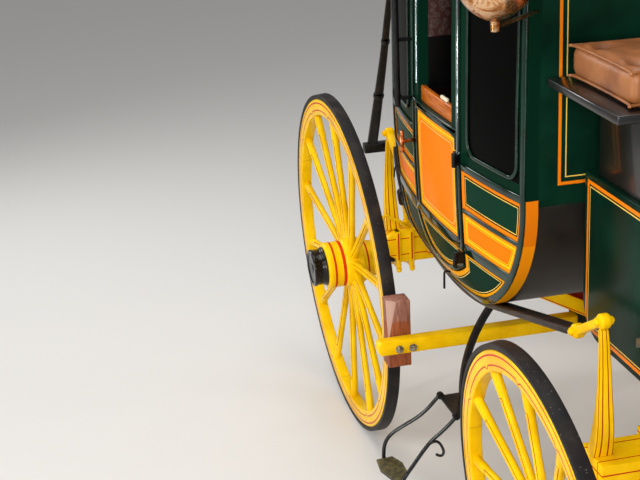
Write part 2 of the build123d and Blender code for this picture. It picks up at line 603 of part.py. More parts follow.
links = {}                     # spring set: (head, lower end)
for name, (x, z, lean) in spring_sets.items():
    head = (x - lean * (SPRING_SWAY + LEAF / 2), SPRING_TOP + HEAD_RADIUS + SEAT_GAP)
    links[name] = (head, (head[0] + lean * LINK_RUN, head[1] - LINK_DROP))
middle = SEAT_GAP + BRACE_THICK / 2
rear_low = links["rear"][1]
front_low = other_end(links["front"][1])           # as if it were at the rear
ends = []
for low in (rear_low, front_low):
    angle = max(tangent_angle(on_end_arc(0, END_ARC), END_ARC + middle, low), meet + 0.02)
    touch = on_end_arc(angle, -middle)
    half = BRACE_THICK / 2
    ends.append({"angle": angle, "outer": strap_end(low, touch, half), "inner": strap_end(low, touch, -half)})


def strap_side(depth, key):
    """Edges of one face of the brace, from its rear end to its front end."""
    points = []
    for end in ends:
        points.append((end[key], on_end_arc(end["angle"], -depth), on_end_arc((end["angle"] + meet) / 2, -depth),
                       on_end_arc(meet, -depth)))
    rear, front = points[0], [other_end(point) for point in points[1]]
    return [Line(rear[0], rear[1]), ThreePointArc(rear[1], rear[2], rear[3]),
            ThreePointArc(rear[3], (c, BELLY_HEIGHT - depth), front[3]),
            ThreePointArc(front[3], front[2], front[1]), Line(front[1], front[0])]


upper_side = strap_side(SEAT_GAP, "inner")
lower_side = strap_side(SEAT_GAP + BRACE_THICK, "outer")
brace_face = make_face(upper_side + lower_side + [
    Line(ends[0]["inner"], ends[0]["outer"]),
    Line(other_end(ends[1]["inner"]), other_end(ends[1]["outer"]))])
brace = side_prism(brace_face, SPRING_SPREAD - BRACE_WIDTH / 2, SPRING_SPREAD + BRACE_WIDTH / 2)
save("leather_braces", brace, mirrored(brace))
shackles = []
for head, low in links.values():
    run = math.degrees(math.atan2(low[1] - head[1], low[0] - head[0]))
    bar = Pos((head[0] + low[0]) / 2, (head[1] + low[1]) / 2) * Rot(0, 0, run) * Rectangle(
        math.hypot(LINK_RUN, LINK_DROP), LINK_BAR)
    face = bar + Pos(*head) * Circle(HEAD_RADIUS) + Pos(*low) * Circle(HEAD_RADIUS)
    link = side_prism(face, SPRING_SPREAD - HEAD_WIDTH / 2, SPRING_SPREAD + HEAD_WIDTH / 2)
    shackles += [link, mirrored(link)]
save("shackles", *shackles)

# Doors, hung at their front edges on a vertical line outboard of the belt
hinge_x = DOOR_FRONT
hinge_y = -(BODY_HALF_WIDTH + HINGE_STANDOFF)
door_sweep = Pos(hinge_x, hinge_y, 1500) * Cylinder(DOOR_FRONT - DOOR_REAR, 3000)
window_face = polygon((DOOR_REAR + DOOR_STILE, SILL_HEIGHT), (DOOR_FRONT - DOOR_STILE, SILL_HEIGHT),
                      (DOOR_FRONT - DOOR_STILE, WINDOW_TOP), (DOOR_REAR + DOOR_STILE, WINDOW_TOP))
leaf = (wall_skin & side_prism(door_face, -DEEP, -200)) & door_sweep
leaf = leaf - side_prism(window_face, -DEEP, -200)
sash_face = polygon((DOOR_REAR + DOOR_STILE, SILL_HEIGHT), (DOOR_FRONT - DOOR_STILE, SILL_HEIGHT),
                    (DOOR_FRONT - DOOR_STILE, SILL_HEIGHT + SASH_SHOWN),
                    (DOOR_REAR + DOOR_STILE, SILL_HEIGHT + SASH_SHOWN))
sash = side_skin(-WALL + 10, -10) & side_prism(sash_face, -DEEP, -200)
HANDLE_HEIGHT = 1385
handle_x = DOOR_REAR + 23
handle_y = -(BODY_HALF_WIDTH + 45)
handle_foot = -(BODY_HALF_WIDTH - 12)
handle = rod((handle_x, handle_foot, HANDLE_HEIGHT), (handle_x, handle_y, HANDLE_HEIGHT), 7)
handle = handle + rod((handle_x, handle_y, HANDLE_HEIGHT - 40), (handle_x, handle_y, HANDLE_HEIGHT + 40), 8)
handle = (handle - outer_cut).solids().sort_by(SortBy.VOLUME)[-1]
HINGES = ((1100, 48), (BELT_HEIGHT + 14, 48), (DOOR_TOP - 90, 48))      # height, length
hinges = []
for height, length in HINGES:
    strap = side_skin(SEAT_GAP, 6) & block(DOOR_FRONT - 48, DOOR_FRONT - 1, -DEEP, 0, height - length / 2 + 6,
                                           height + length / 2 - 6)
    lug = block(DOOR_FRONT - 20, DOOR_FRONT, hinge_y, hinge_y + 40, height - length / 2 + 6,
                height + length / 2 - 6) - outer_cut
    pin = rod((hinge_x, hinge_y, height - length / 2), (hinge_x, hinge_y, height + length / 2), KNUCKLE)
    hinges.append(strap + lug + pin)
DOOR_BELT = BELTS[2]
panel_foot = DOOR_BELT[0] + DOOR_BELT[1] / 2
door_trim = door_face - over_foot(DOOR_REAR + 16, DOOR_FRONT - 16, DOOR_TOP - 16, -16)
door_trim = door_trim + (Pos(BODY_CENTRE, DOOR_BELT[0]) * Rectangle(DOOR_FRONT - DOOR_REAR - 2, DOOR_BELT[1]))
door_trim = door_trim + bead(DOOR_REAR + 44, DOOR_FRONT - 24, panel_foot - BEAD, SILL_HEIGHT - 14, 20)
door_trim = door_trim + Pos(BODY_CENTRE, SILL_HEIGHT - 7) * Rectangle(DOOR_FRONT - DOOR_REAR - 2, BEAD)
door_trim = (door_trim & door_face) - polygon(
    (DOOR_REAR + DOOR_STILE, SILL_HEIGHT), (DOOR_FRONT - DOOR_STILE, SILL_HEIGHT),
    (DOOR_FRONT - DOOR_STILE, WINDOW_TOP), (DOOR_REAR + DOOR_STILE, WINDOW_TOP))
for height, length in HINGES:
    door_trim = door_trim - Pos(DOOR_FRONT - 25, height) * Rectangle(52, length)
door_trim = door_trim - Pos(handle_x, HANDLE_HEIGHT) * Circle(12)
door_strips = strip(door_trim) & door_sweep
for side_name, side in SIDES.items():
    for name, solids in (("door_mouldings", door_strips.solids()), ("door_hinges", hinges)):
        save(f"{name}_{side_name}", *[piece if side < 0 else mirrored(piece) for piece in solids])
    pieces = [leaf, sash, handle]
    if side > 0:
        pieces = [mirrored(piece) for piece in pieces]
    save(f"door_{side_name}", pieces[0])
    save(f"door_sash_{side_name}", pieces[1])
    save(f"door_handle_{side_name}", pieces[2])

# Front boot on the transom, with the box seat and footboard
BOOT_REAR = 585
BOOT_FRONT = 1065
BOOT_HALF_WIDTH = 430
BOOT_TOP = BOOT_BOTTOM + 510
boot_face = make_face([
    Line((BOOT_REAR, BOOT_TOP), (BOOT_REAR, BOOT_BOTTOM + 110)),
    ThreePointArc((BOOT_REAR, BOOT_BOTTOM + 110), (BOOT_REAR + 40, BOOT_BOTTOM + 30), (BOOT_REAR + 130, BOOT_BOTTOM)),
    Line((BOOT_REAR + 130, BOOT_BOTTOM), (BOOT_FRONT - 20, BOOT_BOTTOM)),
    ThreePointArc((BOOT_FRONT - 20, BOOT_BOTTOM), (BOOT_FRONT + 70, BOOT_BOTTOM + 130),
                  (BOOT_FRONT + 60, BOOT_TOP)),
    Line((BOOT_FRONT + 60, BOOT_TOP), (BOOT_REAR, BOOT_TOP))])
boot = side_prism(boot_face, -BOOT_HALF_WIDTH, BOOT_HALF_WIDTH)
save("front_boot", boot)
SEAT_BOARD = 1790
SEAT_HALF = 560
seat_side = [block(BOOT_REAR + 60, BOOT_FRONT - 60, s * 400 - 15, s * 400 + 15, BOOT_TOP, SEAT_BOARD)
             for s in (-1, 1)]
seat_board = block(BOOT_REAR + 20, BOOT_FRONT, -SEAT_HALF, SEAT_HALF, SEAT_BOARD, SEAT_BOARD + 25)
save("box_seat", seat_board, *seat_side)
box_cushion = fillet(block(BOOT_REAR + 40, BOOT_FRONT - 10, -SEAT_HALF + 20, SEAT_HALF - 20, SEAT_BOARD + 25,
                           SEAT_BOARD + 135).edges(), 20)
save("box_cushion", box_cushion)
foot_face = polygon((BOOT_FRONT, 1160), (1480, 1400), (1465, 1424), (BOOT_FRONT, 1190))
save("footboard", side_prism(foot_face, -BOOT_HALF_WIDTH - 60, BOOT_HALF_WIDTH + 60) - boot)

# Rear rack on irons from the body's bottom
RACK_HEIGHT = BELLY_HEIGHT + 41
RACK_HALF_WIDTH = 480
RACK_ARM_Y = 330
SLAT_HALF = 350
arm_front = BODY_CENTRE - 370
rack_bar = block(-REACH, -REACH + 45, -RACK_HALF_WIDTH, RACK_HALF_WIDTH, RACK_HEIGHT - 22, RACK_HEIGHT + 22)
rack_arms = [block(-REACH + 45, arm_front, s * RACK_ARM_Y - 15, s * RACK_ARM_Y + 15, RACK_HEIGHT - 22,
                   RACK_HEIGHT + 22) for s in (-1, 1)]
slats = [block(x, x + 40, -SLAT_HALF, SLAT_HALF, RACK_HEIGHT + 12, RACK_HEIGHT + 34)
         for x in (-REACH + 150, -REACH + 260, -REACH + 370)]
rack_arms = [arm - body_solid for arm in rack_arms]
save("rear_rack", rack_bar + rack_arms + slats)
STAY_OUT = 440
STAY_RADIUS = 17
STAY_LINE = ((-1730, RACK_HEIGHT + 4), (-1596, 1238), (-1463, 1510), (-1380, 1700), (-1245, 1900),
             (side_rear - SEAT_GAP, 2060))
stay_path = Spline([(x, -STAY_OUT, z) for x, z in STAY_LINE], tangents=((0.45, 0, 1), (1, 0, 0)))
stay = sweep(Plane(stay_path @ 0, z_dir=stay_path % 0) * Circle(STAY_RADIUS), path=stay_path)
stay = stay - block(-2 * REACH, 0, -DEEP, 0, 0, RACK_HEIGHT + 22 + SEAT_GAP)
save("rear_stays", stay, mirrored(stay))

# Irons on the rear bed: clips round it, and posts with rollers beside the springs
irons = []
for y in (-496, -553):
    clip = block(REAR_X - BED_DEPTH / 2 - 7, REAR_X + BED_DEPTH / 2 + 7, y - 10, y + 10, BED_BOTTOM - 24, BED_TOP)
    irons.append(clip - end_prism(bed_side, REAR_X - BED_DEPTH / 2, REAR_X + BED_DEPTH / 2) - rear_iron)
post_y = -(SPRING_SPREAD - SPRING_WIDTH / 2 - 17)
post_x = REAR_X + 15
post_lean = 16                 # how far the post's head stands further out than its foot
post = rod((post_x, post_y + post_lean, BED_TOP - 5), (post_x, post_y, BED_TOP + 150), 11)
post = (post + rod((post_x, post_y + 13, BED_TOP + 26), (post_x, post_y + 12, BED_TOP + 37), 16))
post = post - block(post_x - 60, post_x + 60, post_y - 60, post_y + 60, 0, BED_TOP)
irons.append(post)
save("spring_irons", *irons, *[mirrored(piece) for piece in irons])

# Brake: beam sliding in two guides, with a wooden block ahead of each rear wheel
block_face_x = REAR_X + REAR_RADIUS + BRAKE_GAP
beam_x0 = block_face_x + BLOCK_THICK
beam = block(beam_x0, beam_x0 + BEAM_DEPTH, -BEAM_HALF_LENGTH, BEAM_HALF_LENGTH, BEAM_BOTTOM,
             BEAM_BOTTOM + BEAM_HEIGHT)
tread_cut = Pos(REAR_X, 0, REAR_RADIUS) * Rot(90, 0, 0) * Cylinder(REAR_RADIUS + BRAKE_GAP, 3000)
blocks = [block(block_face_x - 40, beam_x0, s * BLOCK_OUT - BLOCK_WIDTH / 2, s * BLOCK_OUT + BLOCK_WIDTH / 2,
                REAR_RADIUS - BLOCK_HALF_HEIGHT, REAR_RADIUS + BLOCK_HALF_HEIGHT) - tread_cut for s in (-1, 1)]
beam_ends = beam.edges().filter_by(Axis.X)
beam = fillet(beam_ends, 16)
save("brake_beam", beam)
save("brake_blocks", *blocks)
GUIDE_THICK = 8
GUIDE_GAP = 2
guide_in = (beam_x0 - BRAKE_GAP - GUIDE_GAP, beam_x0 + BEAM_DEPTH + GUIDE_GAP)
guides = []
for s in (-1, 1):
    loop = block(guide_in[0] - GUIDE_THICK, guide_in[1] + GUIDE_THICK, s * 82 - 20, s * 82 + 20,
                 BEAM_BOTTOM - SEAT_GAP - GUIDE_THICK, PERCH_BOTTOM + 10)
    guides.append(loop - block(guide_in[0], guide_in[1], -200, 200, BEAM_BOTTOM - SEAT_GAP,
                               BEAM_BOTTOM + BEAM_HEIGHT + GUIDE_GAP))
save("brake_guides", *guides)

# Folding steps: a fixed plate on a curved hanger, and a tread that folds up on curved arms
def arm_profile(start, end, width, bow):
    """Curved flat bar in end view from start to end, with a round eye at the start."""
    (y0, z0), (y1, z1) = start, end
    length = math.hypot(y1 - y0, z1 - z0)
    ny, nz = -(z1 - z0) / length, (y1 - y0) / length
    half = width / 2

    def edge(shift):
        return [(y0 + ny * shift, z0 + nz * shift),
                ((y0 + y1) / 2 + ny * (shift + bow), (z0 + z1) / 2 + nz * (shift + bow)),
                (y1 + ny * shift, z1 + nz * shift)]
    near, far = edge(-half), edge(half)
    face = make_face([ThreePointArc(*near), Line(near[2], far[2]), ThreePointArc(*reversed(far)),
                      Line(far[0], near[0])])
    return face + Pos(y0, z0) * Circle(width / 2 + 4)


pivot = (-STEP_PIVOT_OUT, STEP_PIVOT_HEIGHT)
hanger_top = (-HANGER_OUT, BELLY_HEIGHT + 40)
tread_foot = (-TREAD_OUT, TREAD_HEIGHT - TREAD_THICK / 2)
lug_x = STEP_WIDTH / 2 - BAR_THICK / 2
arm_x = STEP_WIDTH / 2 + SEAT_GAP + BAR_THICK / 2
hanger = end_prism(arm_profile((-HANGER_FOOT, STEP_PIVOT_HEIGHT), hanger_top, HANGER_WIDTH, 70),
                   STEP_CENTRE - HANGER_WIDTH / 2, STEP_CENTRE + HANGER_WIDTH / 2)
lugs, arms = [], []
for s in (-1, 1):
    x = STEP_CENTRE + s * lug_x
    lug = rod((x - BAR_THICK / 2, *pivot), (x + BAR_THICK / 2, *pivot), BAR_WIDTH / 2 + 4)
    pin = rod((x, *pivot), (STEP_CENTRE + s * (arm_x + BAR_THICK / 2 + SEAT_GAP), *pivot), STEP_PIN_RADIUS)
    head_x = STEP_CENTRE + s * (arm_x + BAR_THICK / 2 + SEAT_GAP)
    head = rod((head_x, *pivot), (head_x + s * 6, *pivot), STEP_PIN_RADIUS + 5)
    lugs.append(lug + pin + head)
    x = STEP_CENTRE + s * arm_x
    arm = end_prism(arm_profile(pivot, tread_foot, BAR_WIDTH, -38), x - BAR_THICK / 2, x + BAR_THICK / 2)
    arms.append(arm - rod((x - 50, *pivot), (x + 50, *pivot), STEP_PIN_RADIUS + RUNNING_GAP))
plate = block(STEP_CENTRE - STEP_WIDTH / 2, STEP_CENTRE + STEP_WIDTH / 2, -STEP_PIVOT_OUT - 4,
              -STEP_PIVOT_OUT + PLATE_DEPTH, STEP_PIVOT_HEIGHT - 8, STEP_PIVOT_HEIGHT + 2)
bracket = (plate + lugs + hanger) - body_solid
tread_half = arm_x + BAR_THICK / 2
tread = block(STEP_CENTRE - tread_half, STEP_CENTRE + tread_half, -TREAD_OUT - TREAD_DEPTH / 2,
              -TREAD_OUT + TREAD_DEPTH / 2, TREAD_HEIGHT - TREAD_THICK, TREAD_HEIGHT)
tread = chamfer(tread.edges().filter_by(Axis.Z), TREAD_CORNER)
folding = tread + arms
for side_name, side in SIDES.items():
    save(f"folding_step_{side_name}", folding if side < 0 else mirrored(folding))
save("step_brackets", bracket, mirrored(bracket))
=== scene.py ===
"""Stagecoach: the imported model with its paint, lining, leather, iron and upholstery."""
import json
import math

import bpy
from mathutils import Matrix, Vector

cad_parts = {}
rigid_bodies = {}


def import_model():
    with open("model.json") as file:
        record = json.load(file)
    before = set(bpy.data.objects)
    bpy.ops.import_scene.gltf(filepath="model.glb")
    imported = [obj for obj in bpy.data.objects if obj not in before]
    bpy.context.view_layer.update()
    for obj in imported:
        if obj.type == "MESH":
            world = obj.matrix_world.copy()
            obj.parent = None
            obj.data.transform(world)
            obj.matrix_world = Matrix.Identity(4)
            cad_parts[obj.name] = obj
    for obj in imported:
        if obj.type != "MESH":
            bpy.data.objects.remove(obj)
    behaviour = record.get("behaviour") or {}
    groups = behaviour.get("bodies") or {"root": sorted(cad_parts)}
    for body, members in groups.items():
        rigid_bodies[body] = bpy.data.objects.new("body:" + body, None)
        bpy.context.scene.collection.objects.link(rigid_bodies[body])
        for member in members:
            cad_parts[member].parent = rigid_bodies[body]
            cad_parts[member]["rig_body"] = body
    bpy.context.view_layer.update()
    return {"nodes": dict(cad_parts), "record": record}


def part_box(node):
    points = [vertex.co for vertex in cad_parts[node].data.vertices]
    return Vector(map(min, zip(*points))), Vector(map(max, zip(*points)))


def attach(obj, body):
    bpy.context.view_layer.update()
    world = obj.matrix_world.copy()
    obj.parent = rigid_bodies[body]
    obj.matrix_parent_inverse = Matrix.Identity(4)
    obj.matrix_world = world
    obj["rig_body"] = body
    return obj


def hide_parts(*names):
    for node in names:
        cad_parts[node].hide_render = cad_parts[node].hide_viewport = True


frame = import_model()
nodes = frame["nodes"]
bpy.ops.object.select_all(action="DESELECT")


# Studio: a pale floor and backdrop, soft lamps, and the camera at the photograph's height and angle.
# The lens and the place of the camera were solved from the ellipses of the wheels. The tall strip
# stands where a window would, and draws the long streaks on the rounded mouldings.
def linear(code):
    """Linear colour of an sRGB hex value."""
    shares = [int(code[i:i + 2], 16) / 255 for i in (1, 3, 5)]
    return tuple(v / 12.92 if v <= 0.04045 else ((v + 0.055) / 1.055) ** 2.4 for v in shares) + (1.0,)


def put(material, kind, sockets=(), stops=(), **settings):
    """Adds one node to a material, with settings, colour stops, and values or links in its sockets."""
    made = material.node_tree.nodes.new(kind)
    for name, value in settings.items():
        setattr(made, name, value)
    while len(stops) > len(made.color_ramp.elements if stops else ()):
        made.color_ramp.elements.new(1)
    for i, (at_share, code) in enumerate(stops):
        made.color_ramp.elements[i].position, made.color_ramp.elements[i].color = at_share, linear(code)
    for name, value in (sockets.items() if isinstance(sockets, dict) else enumerate(sockets)):
        if isinstance(value, bpy.types.NodeSocket):
            material.node_tree.links.new(value, made.inputs[name])
        else:
            made.inputs[name].default_value = value
    return made


def start(name):
    """New material with its Principled shader, its Object coordinates, and x, y, z of them."""
    material = bpy.data.materials.new(name)
    material.use_nodes = True
    place = put(material, "ShaderNodeTexCoord").outputs["Object"]
    split = put(material, "ShaderNodeSeparateXYZ", [place])
    return material, place, dict(zip("xyz", split.outputs))


def give(material, **sockets):
    """Sets or links sockets of a material's shader; an underscore in a name stands for a space."""
    for name, value in sockets.items():
        socket = material.node_tree.nodes["Principled BSDF"].inputs[name.replace("_", " ")]
        if isinstance(value, bpy.types.NodeSocket):
            material.node_tree.links.new(value, socket)
        else:
            socket.default_value = value


bpy.ops.mesh.primitive_plane_add(size=60, location=(0, 0, -0.001))
floor = bpy.context.object
floor.name = "studio_floor"
ground, place, at = start("pale floor")
path = put(ground, "ShaderNodeLightPath")
for name, operation, *inputs in (
        ("seen", "MAXIMUM", path.outputs["Is Camera Ray"], path.outputs["Is Glossy Ray"]),
        ("shine", "MULTIPLY", "seen", 0.08)):
    at[name] = put(ground, "ShaderNodeMath", [at.get(v, v) for v in inputs], operation=operation).outputs[0]
give(ground, Base_Color=linear("#CFCDC9"), Roughness=0.9, Emission_Color=linear("#F2F0ED"),
     Emission_Strength=at["shine"])
floor.data.materials.append(ground)

world = bpy.data.worlds.new("studio")
world.use_nodes = True
bpy.context.scene.world = world
sky = world.node_tree.nodes["Background"]
sky.inputs["Color"].default_value = linear("#F0F0F2")
sky.inputs["Strength"].default_value = 0.33

# name: place, aim, width, height, power
LAMPS = {
    "key": ((3.4, -4.6, 4.6), (0, -0.5, 0.8), 2.2, 2.2, 165),
    "overhead": ((-0.6, -1.0, 5.5), (-0.4, -0.4, 0.8), 3.0, 3.0, 120),
    "strip": ((0.9, -5.2, 1.7), (-0.4, -0.6, 1.4), 0.3, 3.6, 78),
    "fill": ((4.4, -1.8, 2.5), (-0.7, -0.42, 1.7), 0.8, 0.8, 80),
    "rim": ((-4.5, -3.0, 3.0), (-0.6, -0.4, 0.9), 1.5, 1.5, 60),
    "far_side": ((-1.5, 5.0, 3.5), (0, 0.4, 1.2), 2.5, 2.5, 90),
}
for name, (lamp_place, aim, width, height, power) in LAMPS.items():
    light = bpy.data.lights.new(name, "AREA")
    light.shape = "RECTANGLE"
    light.size, light.size_y = width, height
    light.energy = power
    lamp = bpy.data.objects.new(name, light)
    lamp.location = lamp_place
    lamp.rotation_euler = (Vector(aim) - Vector(lamp_place)).to_track_quat("-Z", "Y").to_euler()
    bpy.context.scene.collection.objects.link(lamp)

CAMERA_PLACE = (4.257, -2.091, 2.772)
CAMERA_TURN = (70.072, 2.563, 76.042)  # degrees
bpy.ops.object.camera_add(location=CAMERA_PLACE, rotation=[math.radians(a) for a in CAMERA_TURN])
camera = bpy.context.object
camera.data.sensor_width, camera.data.lens = 36, 79.06  # mm
bpy.context.scene.camera = camera
bpy.context.scene.view_settings.view_transform = "Standard"


# Wheels: ash spokes driven into an elm nave, and felloes tenoned on the spokes, all painted coach
# yellow and varnished. Each spoke carries a pair of fine lines that meet in a square end short of
# the felloe, the felloe two lines right round, the inner one peaked at each spoke, the nave bands.
def turned(name, profile, steps):
    """Closed profile of (radius, height) spun round the z axis."""
    bpy.ops.object.select_all(action="DESELECT")
    bpy.ops.mesh.primitive_circle_add(vertices=len(profile))
    piece = bpy.context.object
    piece.name = name
    for vertex, (radius, height) in zip(piece.data.vertices, profile):
        vertex.co = (radius, 0, height)
    bpy.ops.object.mode_set(mode="EDIT")
    bpy.ops.mesh.select_all(action="SELECT")
    bpy.ops.mesh.spin(steps=steps, angle=math.tau, center=(0, 0, 0), axis=(0, 0, 1))
    bpy.ops.mesh.select_all(action="SELECT")
    bpy.ops.mesh.remove_doubles(threshold=1e-6)
    bpy.ops.mesh.normals_make_consistent(inside=False)
    bpy.ops.object.mode_set(mode="OBJECT")
    return piece


def lofted(name, loops):
    """Skin through closed loops of points, with a face at each end."""
    columns = len(loops[0])
    bpy.ops.object.select_all(action="DESELECT")
    bpy.ops.mesh.primitive_grid_add(x_subdivisions=columns, y_subdivisions=len(loops) - 1)
    piece = bpy.context.object
    piece.name = name
    for i, vertex in enumerate(piece.data.vertices):
        vertex.co = loops[i // (columns + 1)][i % (columns + 1) % columns]
    bpy.ops.object.mode_set(mode="EDIT")
    bpy.ops.mesh.select_all(action="SELECT")
    bpy.ops.mesh.remove_doubles(threshold=1e-6)
    bpy.ops.mesh.fill_holes(sides=0)
    bpy.ops.mesh.select_all(action="SELECT")
    bpy.ops.mesh.normals_make_consistent(inside=False)
    bpy.ops.object.mode_set(mode="OBJECT")
    return piece


def oval(centre, across, up, half_width, half_depth, squareness=2.0, count=16):
    """Loop of points round a centre: an ellipse at squareness 2, nearly a rectangle at 8."""
    centre, across, up = Vector(centre), Vector(across), Vector(up)
    loop = []
    for i in range(count):
        c, s = math.cos(math.tau * (i + 0.5) / count), math.sin(math.tau * (i + 0.5) / count)
        u = math.copysign(abs(c) ** (2 / squareness), c) * half_width
        v = math.copysign(abs(s) ** (2 / squareness), s) * half_depth
        loop.append(centre + across * u + up * v)
    return loop


def pick(*pieces):
    """Selects these pieces alone, the first of them active."""
    bpy.ops.object.select_all(action="DESELECT")
    for piece in pieces:
        piece.select_set(True)
    bpy.context.view_layer.objects.active = pieces[0]


def finish(piece, bevel=0.0, segments=2, sharp=35, clamp=True):
    """Takes the edges off a piece and smooths it."""
    pick(piece)
    if bevel:
        edges = piece.modifiers.new("edges", "BEVEL")
        edges.width, edges.segments, edges.limit_method = bevel, segments, "ANGLE"
        edges.angle_limit, edges.use_clamp_overlap = math.radians(sharp), clamp
        bpy.ops.object.modifier_apply(modifier="edges")
    bpy.ops.object.shade_smooth_by_angle(angle=math.radians(sharp))


def joined(pieces):
    """Several pieces made one object."""
    pick(*pieces)
    if len(pieces) > 1:
        bpy.ops.object.join()
    return pieces[0]


def copies(piece, places, spare=True):
    """The piece at each of several places, each with its own mesh, joined; a spare piece then goes."""
    made = []
    for where in places:
        twin = piece.copy()
        twin.data = piece.data.copy()
        twin.data.transform(where)
        if where.determinant() < 0:
            twin.data.flip_normals()
        bpy.context.scene.collection.objects.link(twin)
        made.append(twin)
    if spare:
        bpy.data.objects.remove(piece)
    return joined(made)


def keep(piece, name, material, body, slot, *stands_for):
    """Names a finished piece, gives it its material and body, and hides the nodes it stands for; the slot is
    not used.
    """
    piece.name = name
    piece.data.materials.clear()
    piece.data.materials.append(material)
    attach(piece, body)
    if stands_for:
        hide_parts(*stands_for)
    return piece


def zoned(material, base, *layers):
    """One colour from several: a base, and colours laid over it in turn, each where its share is 1."""
    for share, colour in layers:
        colour = linear(colour) if isinstance(colour, str) else colour
        base = put(material, "ShaderNodeMix", {0: share, 6: base, 7: colour}, data_type="RGBA").outputs[2]
    return base


COACH_YELLOW = ((0.32, "#E6AE00"), (0.5, "#F4C208"), (0.68, "#FFCE18"))


def yellow_paint(name):
    """Coach yellow, brushed and varnished: deeper where the coat is thick, with faint brush marks."""
    material, place, at = start(name)
    cloud = put(material, "ShaderNodeTexNoise", {"Vector": place, "Scale": 7, "Detail": 5, "Roughness": 0.6})
    tone = put(material, "ShaderNodeValToRGB", [cloud.outputs["Fac"]], COACH_YELLOW)
    marks = put(material, "ShaderNodeTexNoise", {"Vector": place, "Scale": 110, "Detail": 4})
    bump = put(material, "ShaderNodeBump",
               {"Height": marks.outputs["Fac"], "Strength": 0.15, "Distance": 0.0015})
    # a few small chips down to the dark primer
    chips = put(material, "ShaderNodeTexNoise", {"Vector": place, "Scale": 34, "Detail": 6, "Roughness": 0.7})
    for name, operation, *inputs in (
            ("chip", "GREATER_THAN", chips.outputs["Fac"], 0.71), ("chip_share", "MULTIPLY", "chip", 0.75)):
        at[name] = put(material, "ShaderNodeMath", [at.get(v, v) for v in inputs],
                       operation=operation).outputs[0]
    at["tone"] = zoned(material, tone.outputs["Color"], (at["chip_share"], "#6E4510"))
    give(material, Normal=bump.outputs["Normal"], Roughness=0.24, Specular_IOR_Level=0.07)
    return material, at


def on_arm(axle, side):
    """Where a piece made round the z axis, its outside up, goes to sit on the cambered arm of an axle."""
    (x, out, up), camber = WHEELS[axle][:2]
    turn = Matrix.Rotation(math.radians(90 + camber) * -side, 4, "X")
    return Matrix.Translation((x, side * out, up)) @ turn


SIDES = (("right", -1), ("left", 1))
WHEELS = {  # middle of the tread (x, distance out, height), camber, radius, spokes, first spoke, dish
    "rear": ((-1.015, 0.77317, 0.70033), 2.55, 0.700, 14, 10.8, 0.0269),
    "front": ((1.015, 0.75032, 0.57714), 4.2, 0.577, 12, 0.0, 0.0354),
}
TYRE_THICK = 0.0176
FELLOE_DEPTH = 0.065
HALF_FELLOE = 0.022
SPOKE_FOOT = 0.086
